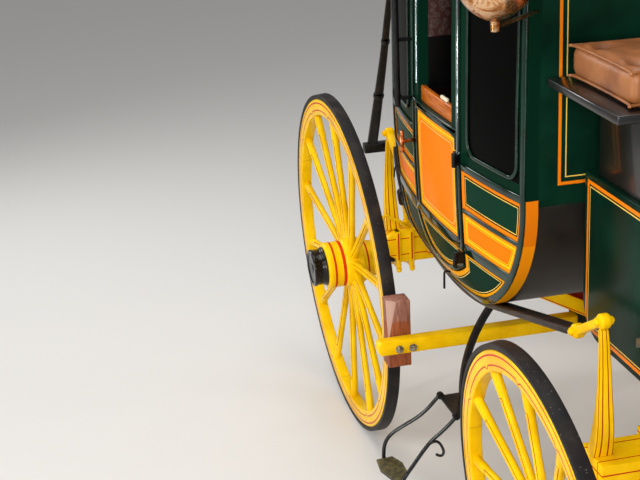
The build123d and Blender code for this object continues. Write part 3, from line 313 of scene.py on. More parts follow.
# share of the way from nave to felloe, half width, half depth, squareness
SPOKE_SECTIONS = ((0.0, 0.0195, 0.0160, 4.0), (0.05, 0.0190, 0.0158, 3.6), (0.16, 0.0165, 0.0140, 2.8),
                  (0.45, 0.0155, 0.0130, 2.4), (0.78, 0.0162, 0.0134, 2.4), (0.825, 0.0166, 0.0138, 2.3),
                  (0.84, 0.0180, 0.0146, 2.2), (1.0, 0.0188, 0.0150, 2.2))
NAVE_BANDS = ((0.056, 0.0045), (0.018, 0.0065), (-0.085, 0.004))  # middle and half width of each
TREAD_TO_LINE, INSIDE_TO_LINE = 0.033, 0.020  # to the felloe's outer and inner line
PEAK_HALF, PEAK_HIGH = 0.016, 0.010  # of the inner line, at each spoke
SPOKE_LINE_OUT, SPOKE_LINE_STARTS, SPOKE_LINE_SHORT = 0.0100, 0.110, 0.080
for axle, ((x, out, up), camber, radius, spokes, first, dish) in WHEELS.items():
    outer = radius - TYRE_THICK
    inner = outer - FELLOE_DEPTH
    line_end = inner - SPOKE_LINE_SHORT
    cone = 2 * math.tan(math.radians(camber)) * HALF_FELLOE
    felloe = turned("felloe", ((inner, -HALF_FELLOE), (outer + cone, -HALF_FELLOE), (outer, HALF_FELLOE),
                               (inner, HALF_FELLOE)), 112)
    finish(felloe, 0.005, 3)
    loops = []
    for share, half_width, half_depth, squareness in SPOKE_SECTIONS:
        reach = SPOKE_FOOT + share * (inner + 0.004 - SPOKE_FOOT)
        loops.append(oval((reach, 0, -dish * (1 - share)), (0, 1, 0), (0, 0, 1), half_width, half_depth,
                          squareness))
    spoke = lofted("spoke", loops)
    finish(spoke, sharp=50)
    spoke_set = copies(spoke, [Matrix.Rotation(math.radians(first) + math.tau * i / spokes, 4, "Z")
                               for i in range(spokes)])
    nave = turned("nave", (
        (0.0301, -0.150), (0.068, -0.150), (0.073, -0.146), (0.076, -0.112), (0.083, -0.088),
        (0.092, -dish - 0.042), (0.100, -dish - 0.036), (0.101, -dish - 0.018), (0.101, -dish + 0.018),
        (0.100, -dish + 0.030), (0.095, -dish + 0.036), (0.0945, 0.058), (0.096, 0.062), (0.096, 0.078),
        (0.090, 0.085), (0.0301, 0.085)), 64)
    finish(nave, 0.0015, 2, 25)
    whole = joined([felloe, spoke_set, nave])
    step = math.tau / spokes
    for side_name, side in SIDES:
        paint, at = yellow_paint(f"lined yellow coach paint {axle} {side_name}")
        wheel = put(paint, "ShaderNodeMapping", {
            "Vector": put(paint, "ShaderNodeTexCoord").outputs["Object"], "Location": (x, side * out, up),
            "Rotation": (math.radians(90 + camber) * -side, 0, 0)}, vector_type="TEXTURE")
        at.update(zip("uvw", put(paint, "ShaderNodeSeparateXYZ", [wheel.outputs[0]]).outputs), bands=0.0)
        for name, operation, *inputs in (
                ("uu", "MULTIPLY", "u", "u"), ("rr", "MULTIPLY_ADD", "v", "v", "uu"), ("r", "SQRT", "rr"),
                ("angle", "ARCTAN2", "v", "u"), ("from_first", "SUBTRACT", "angle", math.radians(first)),
                ("turns", "MULTIPLY_ADD", "from_first", 1 / step, 0.5), ("share", "FRACT", "turns"),
                ("bend", "MULTIPLY_ADD", "share", step, -step / 2), ("sine", "SINE", "bend"),
                ("signed", "MULTIPLY", "sine", "r"), ("across", "ABSOLUTE", "signed"),
                # felloe: an outer line, and an inner line with a peak at each spoke
                ("outer_line", "COMPARE", "r", radius - TREAD_TO_LINE, 0.0030),
                ("off_peak", "MULTIPLY_ADD", "across", -1 / PEAK_HALF, 1.0),
                ("peak", "MAXIMUM", "off_peak", 0.0),
                ("peaked", "MULTIPLY_ADD", "peak", PEAK_HIGH, "r"),
                ("inner_line", "COMPARE", "peaked", inner + INSIDE_TO_LINE, 0.0026),
                ("front", "ABSOLUTE", "w"), ("on_face", "COMPARE", "front", 0.0215, 0.0035),
                ("rim_lines", "MAXIMUM", "outer_line", "inner_line"),
                ("rim_shown", "MULTIPLY", "rim_lines", "on_face"),
                # spokes: two edge lines that meet in a square end
                ("edge", "COMPARE", "across", SPOKE_LINE_OUT, 0.0011),
                ("run", "COMPARE", "r", (line_end + SPOKE_LINE_STARTS) / 2,
                 (line_end - SPOKE_LINE_STARTS) / 2),
                ("edges", "MULTIPLY", "edge", "run"), ("end", "COMPARE", "r", line_end, 0.0013),
                ("inside", "LESS_THAN", "across", SPOKE_LINE_OUT + 0.0011),
                ("square", "MULTIPLY", "end", "inside"),
                ("spoke_lines", "MAXIMUM", "edges", "square"),
                # felloe joints: a dark hair line between each pair of spokes
                ("pairs", "MULTIPLY_ADD", "from_first", spokes / 2 / math.tau, 0.25),
                ("pair", "FRACT", "pairs"),
                ("joint", "COMPARE", "pair", 0.999, 0.0012), ("at_rim", "GREATER_THAN", "r", inner - 0.001),
                ("joint_shown", "MULTIPLY", "joint", "at_rim"),
                *(row for middle, half in NAVE_BANDS for row in (
                    ("band", "COMPARE", "w", middle, half), ("bands", "MAXIMUM", "band", "bands"))),
                ("at_nave", "LESS_THAN", "r", 0.1025), ("nave_bands", "MULTIPLY", "bands", "at_nave"),
                ("broad", "MAXIMUM", "rim_shown", "nave_bands")):
            at[name] = put(paint, "ShaderNodeMath", [at.get(v, v) for v in inputs],
                           operation=operation).outputs[0]
        give(paint, Base_Color=zoned(
            paint, at["tone"], (at["broad"], "#C8340A"), (at["spoke_lines"], "#9A3208"),
            (at["joint_shown"], "#8A5A08")))
        keep(copies(whole, [on_arm(axle, side)], spare=False), f"spoked_wheel_{axle}_{side_name}", paint,
             f"wheel_{axle}_{side_name}", "yellow_wood", f"wheel_{axle}_{side_name}")
    bpy.data.objects.remove(whole)


# Tyres: iron hoops shrunk on hot, coned to run flat, painted black and worn in patches to dusty
# brown iron.
def mottled(name, tones, cloud, raised=(), relief=(), stretch=(), **sockets):
    """New material whose colour drifts between a few tones, with a fine relief.

    cloud: scale, detail, roughness and distortion of the noise that the tones follow
    raised: strength and depth of the relief; relief: its own noise, or the scale alone of its cells
    stretch: how much finer the noise is along x, y and z
    """
    columns = ("Scale", "Detail", "Roughness", "Distortion")
    material, place, at = start(name)
    along = put(material, "ShaderNodeMapping",
                {"Vector": place, "Scale": stretch}).outputs[0] if stretch else place
    at["cloud"] = put(material, "ShaderNodeTexNoise",
                      {"Vector": along, **dict(zip(columns, cloud))}).outputs["Fac"]
    at["tone"] = put(material, "ShaderNodeValToRGB", [at["cloud"]], tones).outputs["Color"]
    at["relief"] = at["cloud"]
    if relief:
        kind = "ShaderNodeTexVoronoi" if len(relief) == 1 else "ShaderNodeTexNoise"
        at["relief"] = put(material, kind, {"Vector": place, **dict(zip(columns, relief))}).outputs[0]
    if raised:
        bump = put(material, "ShaderNodeBump",
                   {"Height": at["relief"], "Strength": raised[0], "Distance": raised[1]})
        give(material, Normal=bump.outputs["Normal"])
    give(material, Base_Color=at["tone"], **sockets)
    return material, place, at


def fit_wheels(piece, axles, name, material, slot, node):
    """A copy of a piece on each wheel of some axles, which rides on it and stands for its node."""
    for axle in axles:
        for side_name, side in SIDES:
            keep(copies(piece, [on_arm(axle, side)], spare=False), f"{name}_{axle}_{side_name}", material,
                 f"wheel_{axle}_{side_name}", slot, f"{node}_{axle}_{side_name}")
    bpy.data.objects.remove(piece)


iron, place, at = mottled(
    "worn black tyre iron", ((0.36, "#0E0C0C"), (0.55, "#1C1715"), (0.72, "#332A22")), (12, 8, 0.65),
    (0.35, 0.001), (260, 4), Roughness=0.5, Specular_IOR_Level=0.2)
specks = put(iron, "ShaderNodeTexVoronoi", {"Vector": place, "Scale": 60})
for name, operation, *inputs in (
        ("speck", "LESS_THAN", specks.outputs["Distance"], 0.10), ("faint", "MULTIPLY", "speck", 0.35)):
    at[name] = put(iron, "ShaderNodeMath", [at.get(v, v) for v in inputs], operation=operation).outputs[0]
give(iron, Base_Color=zoned(iron, at["tone"], (at["faint"], "#8C8578")))
HALF_TYRE, TYRE_WALL = 0.023, 0.017
for axle, (middle, camber, radius, *_) in WHEELS.items():
    cone = 2 * math.tan(math.radians(camber)) * HALF_TYRE
    bore = radius - TYRE_WALL
    hoop = turned("hoop", ((bore + cone, -HALF_TYRE), (radius + cone, -HALF_TYRE), (radius, HALF_TYRE),
                           (bore, HALF_TYRE)), 180)
    finish(hoop, 0.0035, 3)
    fit_wheels(hoop, [axle], "iron_tyre", iron, "iron_tyre", "tyre")

# Nave caps: turned brass-shell caps japanned black, oily, with a raised rim and a dished face.
# The lacquer is thick and uneven, so that it glints.
lacquer = mottled("oily black lacquer", ((0.35, "#050505"), (0.7, "#16130F")), (42, 5, 0.6), (0.3, 0.004),
                  Roughness=0.14, Specular_IOR_Level=0.35)[0]
cap = turned("cap", (
    (0.044, 0.0853), (0.080, 0.0853), (0.080, 0.092), (0.0765, 0.095), (0.0765, 0.100), (0.074, 0.102),
    (0.074, 0.126), (0.0765, 0.128), (0.0765, 0.137), (0.0735, 0.1415), (0.064, 0.1415), (0.060, 0.137),
    (0.022, 0.1355), (0.016, 0.139), (0.004, 0.140), (0.004, 0.128), (0.044, 0.126)), 56)
finish(cap, 0.0012, 2, 25)
fit_wheels(cap, WHEELS, "nave_cap", lacquer, "black_iron", "hub_cap")

# Undercarriage timber: ash beds, transom, perch, futchells and splinter bar, painted as the wheels
# are. Each has a red line set in from its edges.
body_of = {name: node["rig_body"] for name, node in nodes.items()}
slot_of = {row["node"]: row["material_slot"] for row in frame["record"]["subparts"]}


def softened(node, width, material, segments=2, sharp=35):
    """A copy of a CAD node with its edges taken off, which stands for it."""
    piece = bpy.data.objects.new(node + "_finished", nodes[node].data.copy())
    bpy.context.scene.collection.objects.link(piece)
    pick(piece)
    bpy.ops.object.mode_set(mode="EDIT")
    bpy.ops.mesh.select_all(action="SELECT")
    bpy.ops.mesh.remove_doubles(threshold=1e-5)
    bpy.ops.mesh.dissolve_limited(angle_limit=math.radians(1))
    bpy.ops.object.mode_set(mode="OBJECT")
    finish(piece, width, segments, sharp, clamp=False)
    return keep(piece, node + "_finished", material, body_of[node], slot_of[node], node)


# node: the two axes across it, with the middle and half size of each, and how far in the line runs
BARS = {
    "rear_axle_bed": (("x", -1.015, 0.050), ("z", 0.7565, 0.0685), 0.034),
    "front_axle_bed": (("x", 1.015, 0.050), ("z", 0.6029, 0.0729), 0.034),
    "front_transom": (("x", 1.015, 0.075), ("z", 0.7625, 0.0625), 0.030),
    "splinter_bar": (("x", 1.710, 0.040), ("z", 0.6250, 0.0400), 0.016),
    "futchells": (("y", 0.130, 0.030), ("z", 0.6407, 0.0350), 0.016),
    "perch": (("y", 0.0, 0.040), ("z", 0.7480, 0.0450), 0.018),
}
for node, (*sides_across, line_in) in BARS.items():
    paint, at = yellow_paint(f"lined yellow coach paint {node}")
    at["lines"] = 0.0
    for axis, middle, half in sides_across:
        for name, operation, *inputs in (
                ("size", "ABSOLUTE", axis), ("off", "SUBTRACT", "size" if axis == "y" else axis, middle),
                ("far", "ABSOLUTE", "off"), ("line", "COMPARE", "far", half - line_in, 0.0022),
                ("lines", "MAXIMUM", "line", "lines")):
            at[name] = put(paint, "ShaderNodeMath", [at.get(v, v) for v in inputs],
                           operation=operation).outputs[0]
    give(paint, Base_Color=zoned(paint, at["tone"], (at["lines"], "#C02A0C")))
    softened(node, 0.004, paint)

# Brake beam: a plain yellow ash bar with rounded ends, that slides in two iron loops on the perch.
# Two bolts at each end, with nuts over washers, hold its block.
paint, at = yellow_paint("plain yellow coach paint")
give(paint, Base_Color=at["tone"])
softened("brake_beam", 0.003, paint)


def fastener(across, height, washer):
    """Hexagonal nut on its washer, with the end of the bolt through it, standing on z = 0."""
    made = []
    for corners, radius, depth, middle, bevel in (
            (24, washer / 2, 0.0025, 0.00125, 0.0006),
            (6, across / math.sqrt(3), height, 0.0025 + height / 2, height * 0.16),
            (16, across * 0.3, height * 0.5, 0.0025 + height * 1.2, height * 0.12)):
        bpy.ops.object.select_all(action="DESELECT")
        bpy.ops.mesh.primitive_cylinder_add(vertices=corners, radius=radius, depth=depth,
                                            location=(0, 0, middle))
        made.append(bpy.context.object)
        finish(made[-1], bevel, 2)
        made[-1].data.transform(Matrix.Translation(made[-1].location))
        made[-1].location = (0, 0, 0)
    return joined(made)


def facing(place, direction, twist=0.0):
    """Where a piece that stands on z = 0 goes to stand at a place and point in a direction."""
    turn = Vector(direction).to_track_quat("Z", "Y").to_matrix().to_4x4()
    return Matrix.Translation(place) @ turn @ Matrix.Rotation(twist, 4, "Z")


# Beam bolts: turned from bright steel bar and filed, with a hexagonal nut over a washer on the end
# of each. They are worn shiny, and dark in the pores.
steel = mottled("filed bright steel", ((0.4, "#6B6257"), (0.62, "#C9C2B4")), (160, 4), Metallic=1.0,
                Roughness=0.3)[0]
BEAM_FRONT = -0.177
bolt_places = [facing((BEAM_FRONT, side * y, 0.669), (1, 0, 0), twist)
               for side in (-1, 1) for y, twist in ((0.790, 0.3), (0.740, 0.9))]
keep(copies(fastener(0.020, 0.010, 0.030), bolt_places), "beam_bolts", steel, "brake", "black_iron")

# Brake blocks: bare elm sawn from a plank, the grain upright, dark and smoother below where oil has
# soaked in. A chamfer takes off the outer corner and runs out towards the foot; its face is painted
# paler, a painted highlight where the light falls on it.
elm, place, at = mottled(
    "oiled bare elm", ((0.3, "#5E3A2A"), (0.5, "#8A5644"), (0.7, "#B07C66")), (14, 8, 0.7), (0.6, 0.002),
    stretch=(9, 9, 1), Roughness=0.62)
oiled = put(elm, "ShaderNodeValToRGB", [at["cloud"]], ((0.3, "#5A2A10"), (0.5, "#8E451E"), (0.7, "#A8602E")))
edge_noise = put(elm, "ShaderNodeTexNoise", {"Vector": place, "Scale": 30, "Detail": 3})
OIL_LEVEL = 0.765
CHAMFER_AT, CHAMFER_FACING = (-0.237, 0.784, 0.829), (0.70, 0.64, 0.13)
# the chamfer's face, past its plane, is painted pale: a painted highlight
for name, operation, *inputs in (
        ("wave", "MULTIPLY_ADD", edge_noise.outputs["Fac"], 0.03, "z"),
        ("soaked", "LESS_THAN", "wave", OIL_LEVEL),
        ("size", "ABSOLUTE", "y"),
        ("corner", "MULTIPLY_ADD", "size", CHAMFER_FACING[1], -Vector(CHAMFER_AT).dot(CHAMFER_FACING)),
        ("leaning", "MULTIPLY_ADD", "z", CHAMFER_FACING[2], "corner"),
        ("off", "MULTIPLY_ADD", "x", CHAMFER_FACING[0], "leaning"),
        ("lit_chamfer", "GREATER_THAN", "off", -0.0012)):
    at[name] = put(elm, "ShaderNodeMath", [at.get(v, v) for v in inputs], operation=operation).outputs[0]
give(elm, Base_Color=zoned(elm, at["tone"], (at["soaked"], oiled.outputs["Color"]),
                           (at["lit_chamfer"], "#B08A78")))
softened("brake_blocks", 0.004, elm, 3)
for side in (-1, 1):
    bpy.ops.object.mode_set(mode="EDIT")
    bpy.ops.mesh.select_all(action="SELECT")
    bpy.ops.mesh.bisect(plane_co=Vector(CHAMFER_AT) * Vector((1, side, 1)), use_fill=True, clear_outer=True,
                        plane_no=Vector(CHAMFER_FACING) * Vector((1, side, 1)))
    bpy.ops.object.mode_set(mode="OBJECT")

# Upright springs: five tapered steel leaves painted yellow, a red line down each side of the face
# and down each edge, so that the lines fan out from head to foot. Links hang from the heads.
SPRING_OUT = 0.562  # middle of the springs, links and braces, out from the middle of the coach
SPRING_FOOT, SPRING_HIGH = 0.825, 0.384
leaf_paint, at = yellow_paint("lined yellow spring leaf")
for name, operation, *inputs in (
        ("rise", "MULTIPLY_ADD", "z", 1 / SPRING_HIGH, -SPRING_FOOT / SPRING_HIGH),
        ("half", "MULTIPLY_ADD", "rise", -0.015, 0.029),
        ("size", "ABSOLUTE", "y"), ("off", "SUBTRACT", "size", SPRING_OUT), ("far", "ABSOLUTE", "off"),
        ("share", "DIVIDE", "far", "half"), ("line", "COMPARE", "share", 0.40, 0.075),
        ("rim", "COMPARE", "share", 0.935, 0.04), ("lines", "MAXIMUM", "line", "rim")):
    at[name] = put(leaf_paint, "ShaderNodeMath", [at.get(v, v) for v in inputs],
                   operation=operation).outputs[0]
give(leaf_paint, Base_Color=zoned(leaf_paint, at["tone"], (at["lines"], "#A01C0A")))
softened("springs", 0.0014, leaf_paint)
softened("shackles", 0.005, paint, 3)
LINK_ENDS = ((-1.0205, 1.2313), (-0.8525, 1.1333), (1.0175, 1.2313), (0.8495, 1.1333))
pins = [facing((x, side * (SPRING_OUT + face * 0.0142), z), (0, side * face, 0), 0.4)
        for x, z in LINK_ENDS for side in (-1, 1) for face in (-1, 1)]
keep(copies(fastener(0.022, 0.009, 0.034), pins), "link_bolts", paint, "coach", "yellow_iron")

# Spring irons: clips round the rear bed, lined red down the middle, with nuts below, a post beside
# each spring with a black leather roller on it, and a turned-up hook across the spring's foot.
CLIPS_OUT = (0.496, 0.553)
CLIP_STRIPE = (0.759, 0.059)  # its middle and half length, upright
clip_paint, at = yellow_paint("lined yellow clip")
for name, operation, *inputs in (
        ("size", "ABSOLUTE", "y"), ("one", "COMPARE", "size", CLIPS_OUT[0], 0.0030),
        ("two", "COMPARE", "size", CLIPS_OUT[1], 0.0030), ("both", "MAXIMUM", "one", "two"),
        ("span", "COMPARE", "z", *CLIP_STRIPE), ("stripe", "MULTIPLY", "both", "span")):
    at[name] = put(clip_paint, "ShaderNodeMath", [at.get(v, v) for v in inputs],
                   operation=operation).outputs[0]
give(clip_paint, Base_Color=zoned(clip_paint, at["tone"], (at["stripe"], "#C02A0C")))
softened("spring_irons", 0.003, clip_paint)


def bent_rod(name, points, radius, closed=False):
    """Round bar through a few points, as a mesh."""
    line = bpy.data.curves.new(name, "CURVE")
    line.dimensions, line.bevel_depth, line.bevel_resolution, line.use_fill_caps = "3D", radius, 3, True
    line.resolution_u = 10
    spline = line.splines.new("NURBS")
    spline.points.add(len(points) - 1)
    for point, where in zip(spline.points, points):
        point.co = (*where, 1)
    spline.order_u, spline.use_cyclic_u, spline.use_endpoint_u = 3, closed, not closed
    piece = bpy.data.objects.new(name, line)
    bpy.context.scene.collection.objects.link(piece)
    pick(piece)
    bpy.ops.object.convert(target="MESH")
    bpy.ops.object.shade_smooth_by_angle(angle=math.radians(40))
    return bpy.context.object


both_sides = (Matrix.Identity(4), Matrix.Scale(-1, 4, (0, 1, 0)))
nuts = [facing((x, side * y, 0.664), (0, 0, -1), 0.2) for x in (-1.068, -0.962) for side in (-1, 1)
        for y in CLIPS_OUT]
keep(copies(fastener(0.020, 0.011, 0.024), nuts), "clip_nuts", clip_paint, "coach", "yellow_iron")
hook = bent_rod("hook", ((-0.975, -0.612, 0.862), (-0.972, -0.614, 0.897), (-0.968, -0.596, 0.902),
                         (-0.966, -0.576, 0.880), (-0.966, -0.548, 0.874), (-0.968, -0.524, 0.850),
                         (-0.985, -0.506, 0.838)), 0.0062)
keep(copies(hook, both_sides), "spring_foot_hooks", paint, "coach", "yellow_iron")
roller = turned("roller", ((0.0, -0.034), (0.014, -0.033), (0.0185, -0.027), (0.0195, 0.0), (0.0185, 0.027),
                           (0.014, 0.033), (0.0, 0.034)), 32)
finish(roller, sharp=50)
roller.data.transform(Matrix.Translation((-0.966, -0.530, 0.972)) @ Matrix.Rotation(math.radians(8), 4, "X"))
pin = bent_rod("pin", ((-1.000, -0.516, 0.966), (-0.984, -0.522, 0.969), (-0.968, -0.529, 0.972)), 0.005)
keep(copies(joined([roller, pin]), both_sides), "post_rollers", lacquer, "coach", "black_leather")

# Wrought iron, japanned black: axles, wheel plates, rack, rails, steps and hinges. Hammered
# surface, glossy where the japan is whole, brown in patches where it has worn.
japan, place, at = mottled(
    "black japanned iron", ((0.4, "#0A0A0B"), (0.62, "#191817"), (0.74, "#33261C")), (26, 6, 0.62),
    (0.35, 0.002), (70, 2), Specular_IOR_Level=0.2)
gloss = put(japan, "ShaderNodeMapRange", {"Value": at["cloud"], "To Min": 0.16, "To Max": 0.5})
give(japan, Roughness=gloss.outputs["Result"])


def wear(material, *names):
    """Gives CAD nodes a material."""
    for name in names:
        for slot in nodes[name].material_slots:
            slot.material = material


wear(japan, "rear_axle", "front_axle", "rails")
for node, width in (("upper_wheel_plate", 0.002), ("lower_wheel_plate", 0.002), ("rear_rack", 0.004),
                    ("brake_guides", 0.002), ("step_brackets", 0.0015),
                    ("door_hinges_right", 0.0015), ("door_hinges_left", 0.0015)):
    softened(node, width, japan)

# Latch rods: thin round iron, bent hot and japanned, that hangs from the sill under each door, and
# keeps the folded steps up.
latch = bent_rod("latch", ((-0.075, -0.630, 0.985), (-0.075, -0.650, 0.992), (-0.075, -0.652, 0.975),
                           (-0.075, -0.652, 0.925)), 0.004)
keep(copies(latch, both_sides), "step_latches", japan, "coach", "black_iron")

# Leather braces: eight layers of harness leather, looped over the links of each spring and drawn
# tight under the body, which swings in them. The edges are stitched and blacked, the face is worn.
STITCH = 0.009  # pitch; coarser than the real 4 mm, so that it shows
leather, place, at = mottled(
    "blacked harness leather", ((0.36, "#120E0B"), (0.55, "#241A13"), (0.72, "#3D2B1D")), (18, 6),
    relief=(520,), Roughness=0.42)
for name, operation, *inputs in (
        ("size", "ABSOLUTE", "y"), ("off", "SUBTRACT", "size", SPRING_OUT), ("far", "ABSOLUTE", "off"),
        ("seam", "COMPARE", "far", 0.0215, 0.0013), ("run", "ADD", "x", "z"),
        ("pitch", "MULTIPLY", "run", 1 / STITCH), ("stroke", "FRACT", "pitch"),
        ("dash", "LESS_THAN", "stroke", 0.62), ("stitch", "MULTIPLY", "seam", "dash"),
        ("height", "MULTIPLY_ADD", "stitch", 0.8, "relief")):
    at[name] = put(leather, "ShaderNodeMath", [at.get(v, v) for v in inputs], operation=operation).outputs[0]
bump = put(leather, "ShaderNodeBump", {"Height": at["height"], "Strength": 0.4, "Distance": 0.001})
give(leather, Base_Color=zoned(leather, at["tone"], (at["stitch"], "#6A5638")), Normal=bump.outputs["Normal"])
softened("leather_braces", 0.003, leather)

# Check straps: a short strap of the same harness leather on each side, from the rear link down to
# the roller on its post, which checks the body's swing.
strap = lofted("strap", [oval((x, y, z), (0, 1, 0), (0.8, 0, 0.6), 0.012, 0.003, 6.0, 16) for x, y, z in (
    (-0.860, -0.556, 1.126), (-0.878, -0.552, 1.095), (-0.915, -0.543, 1.040), (-0.945, -0.536, 1.000),
    (-0.962, -0.532, 0.978))])
finish(strap, sharp=40)
keep(copies(strap, both_sides), "check_straps", leather, "coach", "black_leather")


# Chafing straps: a narrow strap down the foot of the body beside each rear brace, nailed to the
# back above and to the bottom boards below, on which the brace rubs when the body swings.
def strap_along(name, line, y, halves, thick, squareness, count):
    """Strap along a line of (x, z) at one y; thick is its thickness as a share of its width."""
    loops = []
    for i, ((x, z), half) in enumerate(zip(line, halves)):
        (back_x, back_z), (next_x, next_z) = line[max(i - 1, 0)], line[min(i + 1, len(line) - 1)]
        run = Vector((next_x - back_x, 0, next_z - back_z)).normalized()
        loops.append(oval((x, y, z), (0, 1, 0), run.cross((0, 1, 0)), half, half * thick, squareness, count))
    return lofted(name, loops)


CHAFING_LINE = ((-0.8005, 1.238), (-0.799, 1.212), (-0.791, 1.176), (-0.768, 1.134), (-0.741, 1.095),
                (-0.712, 1.060), (-0.675, 1.028), (-0.625, 1.000), (-0.560, 0.986))
chafing = strap_along("chafing", CHAFING_LINE, -0.601, [0.0095] * len(CHAFING_LINE), 0.003 / 0.0095, 6.0, 16)
finish(chafing, sharp=40)
keep(copies(chafing, both_sides), "chafing_straps", leather, "coach", "black_leather")

# Rear stays: iron rods sewn into tapered leather, from the rack's frame up to the back of the body,
# bound with a band where the padding ends and again at the middle.
STAYS_OUT = -0.440
STAY_LINE = ((-1.729, 0.966), (-1.727, 0.972), (-1.722, 0.990), (-1.655, 1.110), (-1.591, 1.241),
             (-1.520, 1.380), (-1.458, 1.510), (-1.391, 1.699), (-1.245, 1.900), (-1.040, 2.020),
             (-0.832, 2.060))
STAY_WIDTHS = (0.024, 0.024, 0.024, 0.0235, 0.021, 0.018, 0.016, 0.015, 0.014, 0.013, 0.013)
stay = strap_along("stay", STAY_LINE, STAYS_OUT, STAY_WIDTHS, 0.62, 2.6, 20)
rounding = stay.modifiers.new("rounding", "SUBSURF")
rounding.levels = rounding.render_levels = 1
finish(stay, sharp=60)
bpy.ops.object.modifier_apply(modifier="rounding")
bands = []
for (x, z), half in ((STAY_LINE[4], 0.0235), (STAY_LINE[6], 0.0185)):
    band = turned("band", ((half - 0.004, -0.009), (half, -0.009), (half + 0.001, 0.0), (half, 0.009),
                           (half - 0.004, 0.009)), 28)
    finish(band, 0.001, 2, 50)
    band.data.transform(facing((x, STAYS_OUT, z), (0.42, 0, 0.9)))
    bands.append(band)
stay_leather = mottled(
    "sewn black leather", ((0.38, "#070606"), (0.6, "#120E0C"), (0.75, "#281D16")), (24, 5), (0.5, 0.0015),
    (130, 5, 0.5, 0.6), Roughness=0.34, Specular_IOR_Level=0.3)[0]
keep(copies(joined([stay] + bands), both_sides), "sewn_rear_stays", stay_leather, "coach", "black_leather",
     "rear_stays")

# Body sides: thin poplar panels on an ash frame, painted in three bands, a bottle-green belly, an
# orange waist and a bottle-green band above it, with black round the window. Each band is edged
# with a broad orange stripe and a fine pale line, which follow the rounded outline of the body.
HEART = -0.145  # middle of the body along x
END_OUT, END_UP, END_RADIUS = 0.23, 1.40326, 0.45  # arc of each end of the outline, from the heart
BELLY_UP, BELLY_RADIUS = 2.325, 1.4  # arc of the belly
OUTLINE_BEAD = 0.026
DOOR_REAR, DOOR_FRONT = -0.401, 0.121
DOOR_HEART, DOOR_UP, DOOR_RADIUS = -0.115, 1.388, 0.397  # arc that the doorway's foot follows
DOOR_ARC = (("ring", "SUBTRACT", "x", DOOR_HEART), ("ring2", "MULTIPLY", "ring", "ring"),
            ("rise", "SUBTRACT", "z", DOOR_UP), ("far2", "MULTIPLY_ADD", "rise", "rise", "ring2"),
            ("far", "SQRT", "far2"))
SIDE_BEADS = ((1.425, 0.013), (1.275, 0.008), (1.141, 0.018))  # height and half width of each
EDGE = 0.05  # how far in from a panel's edge the ramps reach


def side_distances(material, at):
    """Adds how far a point of the side lies in from the body's outline, the doorway and the beads."""
    for name, operation, *inputs in (
            ("off", "SUBTRACT", "x", HEART), ("s", "ABSOLUTE", "off"),
            ("past", "SUBTRACT", "s", END_OUT), ("du", "MAXIMUM", "past", 0.0),
            ("below", "SUBTRACT", END_UP, "z"), ("dz", "MAXIMUM", "below", 0.0),
            ("du2", "MULTIPLY", "du", "du"), ("r2", "MULTIPLY_ADD", "dz", "dz", "du2"), ("r", "SQRT", "r2"),
            ("in_end", "SUBTRACT", END_RADIUS, "r"), ("dy", "SUBTRACT", "z", BELLY_UP),
            ("s2", "MULTIPLY", "s", "s"), ("b2", "MULTIPLY_ADD", "dy", "dy", "s2"),
            ("b", "SQRT", "b2"), ("in_belly", "SUBTRACT", BELLY_RADIUS, "b"),
            ("slope", "MULTIPLY_ADD", "dz", -0.2493, "past"), ("belly", "LESS_THAN", "slope", 0.0),
            ("not_belly", "SUBTRACT", 1.0, "belly"), ("first", "MULTIPLY", "in_belly", "belly"),
            ("in_all", "MULTIPLY_ADD", "in_end", "not_belly", "first"),
            ("d_out", "SUBTRACT", "in_all", OUTLINE_BEAD),
            ("front_of", "SUBTRACT", "x", DOOR_FRONT), ("behind", "SUBTRACT", DOOR_REAR, "x"),
            ("beside", "MAXIMUM", "front_of", "behind"),
            *DOOR_ARC, ("round", "SUBTRACT", "far", DOOR_RADIUS),
            ("d_door", "MAXIMUM", "beside", "round"), ("d", "MINIMUM", "d_out", "d_door"),
            *(row for height, half in SIDE_BEADS for row in (
                ("over", "SUBTRACT", "z", height), ("away", "ABSOLUTE", "over"),
                ("d_bead", "SUBTRACT", "away", half), ("d", "MINIMUM", "d", "d_bead")))):
        at[name] = put(material, "ShaderNodeMath", [at.get(v, v) for v in inputs],
                       operation=operation).outputs[0]


def stepped(material, distance, stops):
    """Colours in bands by the distance in from an edge, in metres."""
    share = put(material, "ShaderNodeMath", [distance, 1 / EDGE], operation="MULTIPLY").outputs[0]
    ramp = put(material, "ShaderNodeValToRGB", [share], [(edge / EDGE, code) for edge, code in stops])
    ramp.color_ramp.interpolation = "CONSTANT"
    return ramp.outputs["Color"]


def varnished(material, place, colour, faded, **sockets):
    """Gives a panel its colour, faded in clouds between two shares, under a faintly rippled varnish."""
    fade = put(material, "ShaderNodeTexNoise", {"Vector": place, "Scale": 5, "Detail": 5})
    shade = put(material, "ShaderNodeMapRange",
                {"Value": fade.outputs["Fac"], "To Min": faded[0], "To Max": faded[1]})
    aged = put(material, "ShaderNodeVectorMath", {0: colour, "Scale": shade.outputs["Result"]},
               operation="SCALE")
    ripple = put(material, "ShaderNodeTexNoise", {"Vector": place, "Scale": 26, "Detail": 3})
    bump = put(material, "ShaderNodeBump",
               {"Height": ripple.outputs["Fac"], "Strength": 0.08, "Distance": 0.002})
    give(material, Base_Color=aged.outputs[0], Normal=bump.outputs["Normal"], **sockets)


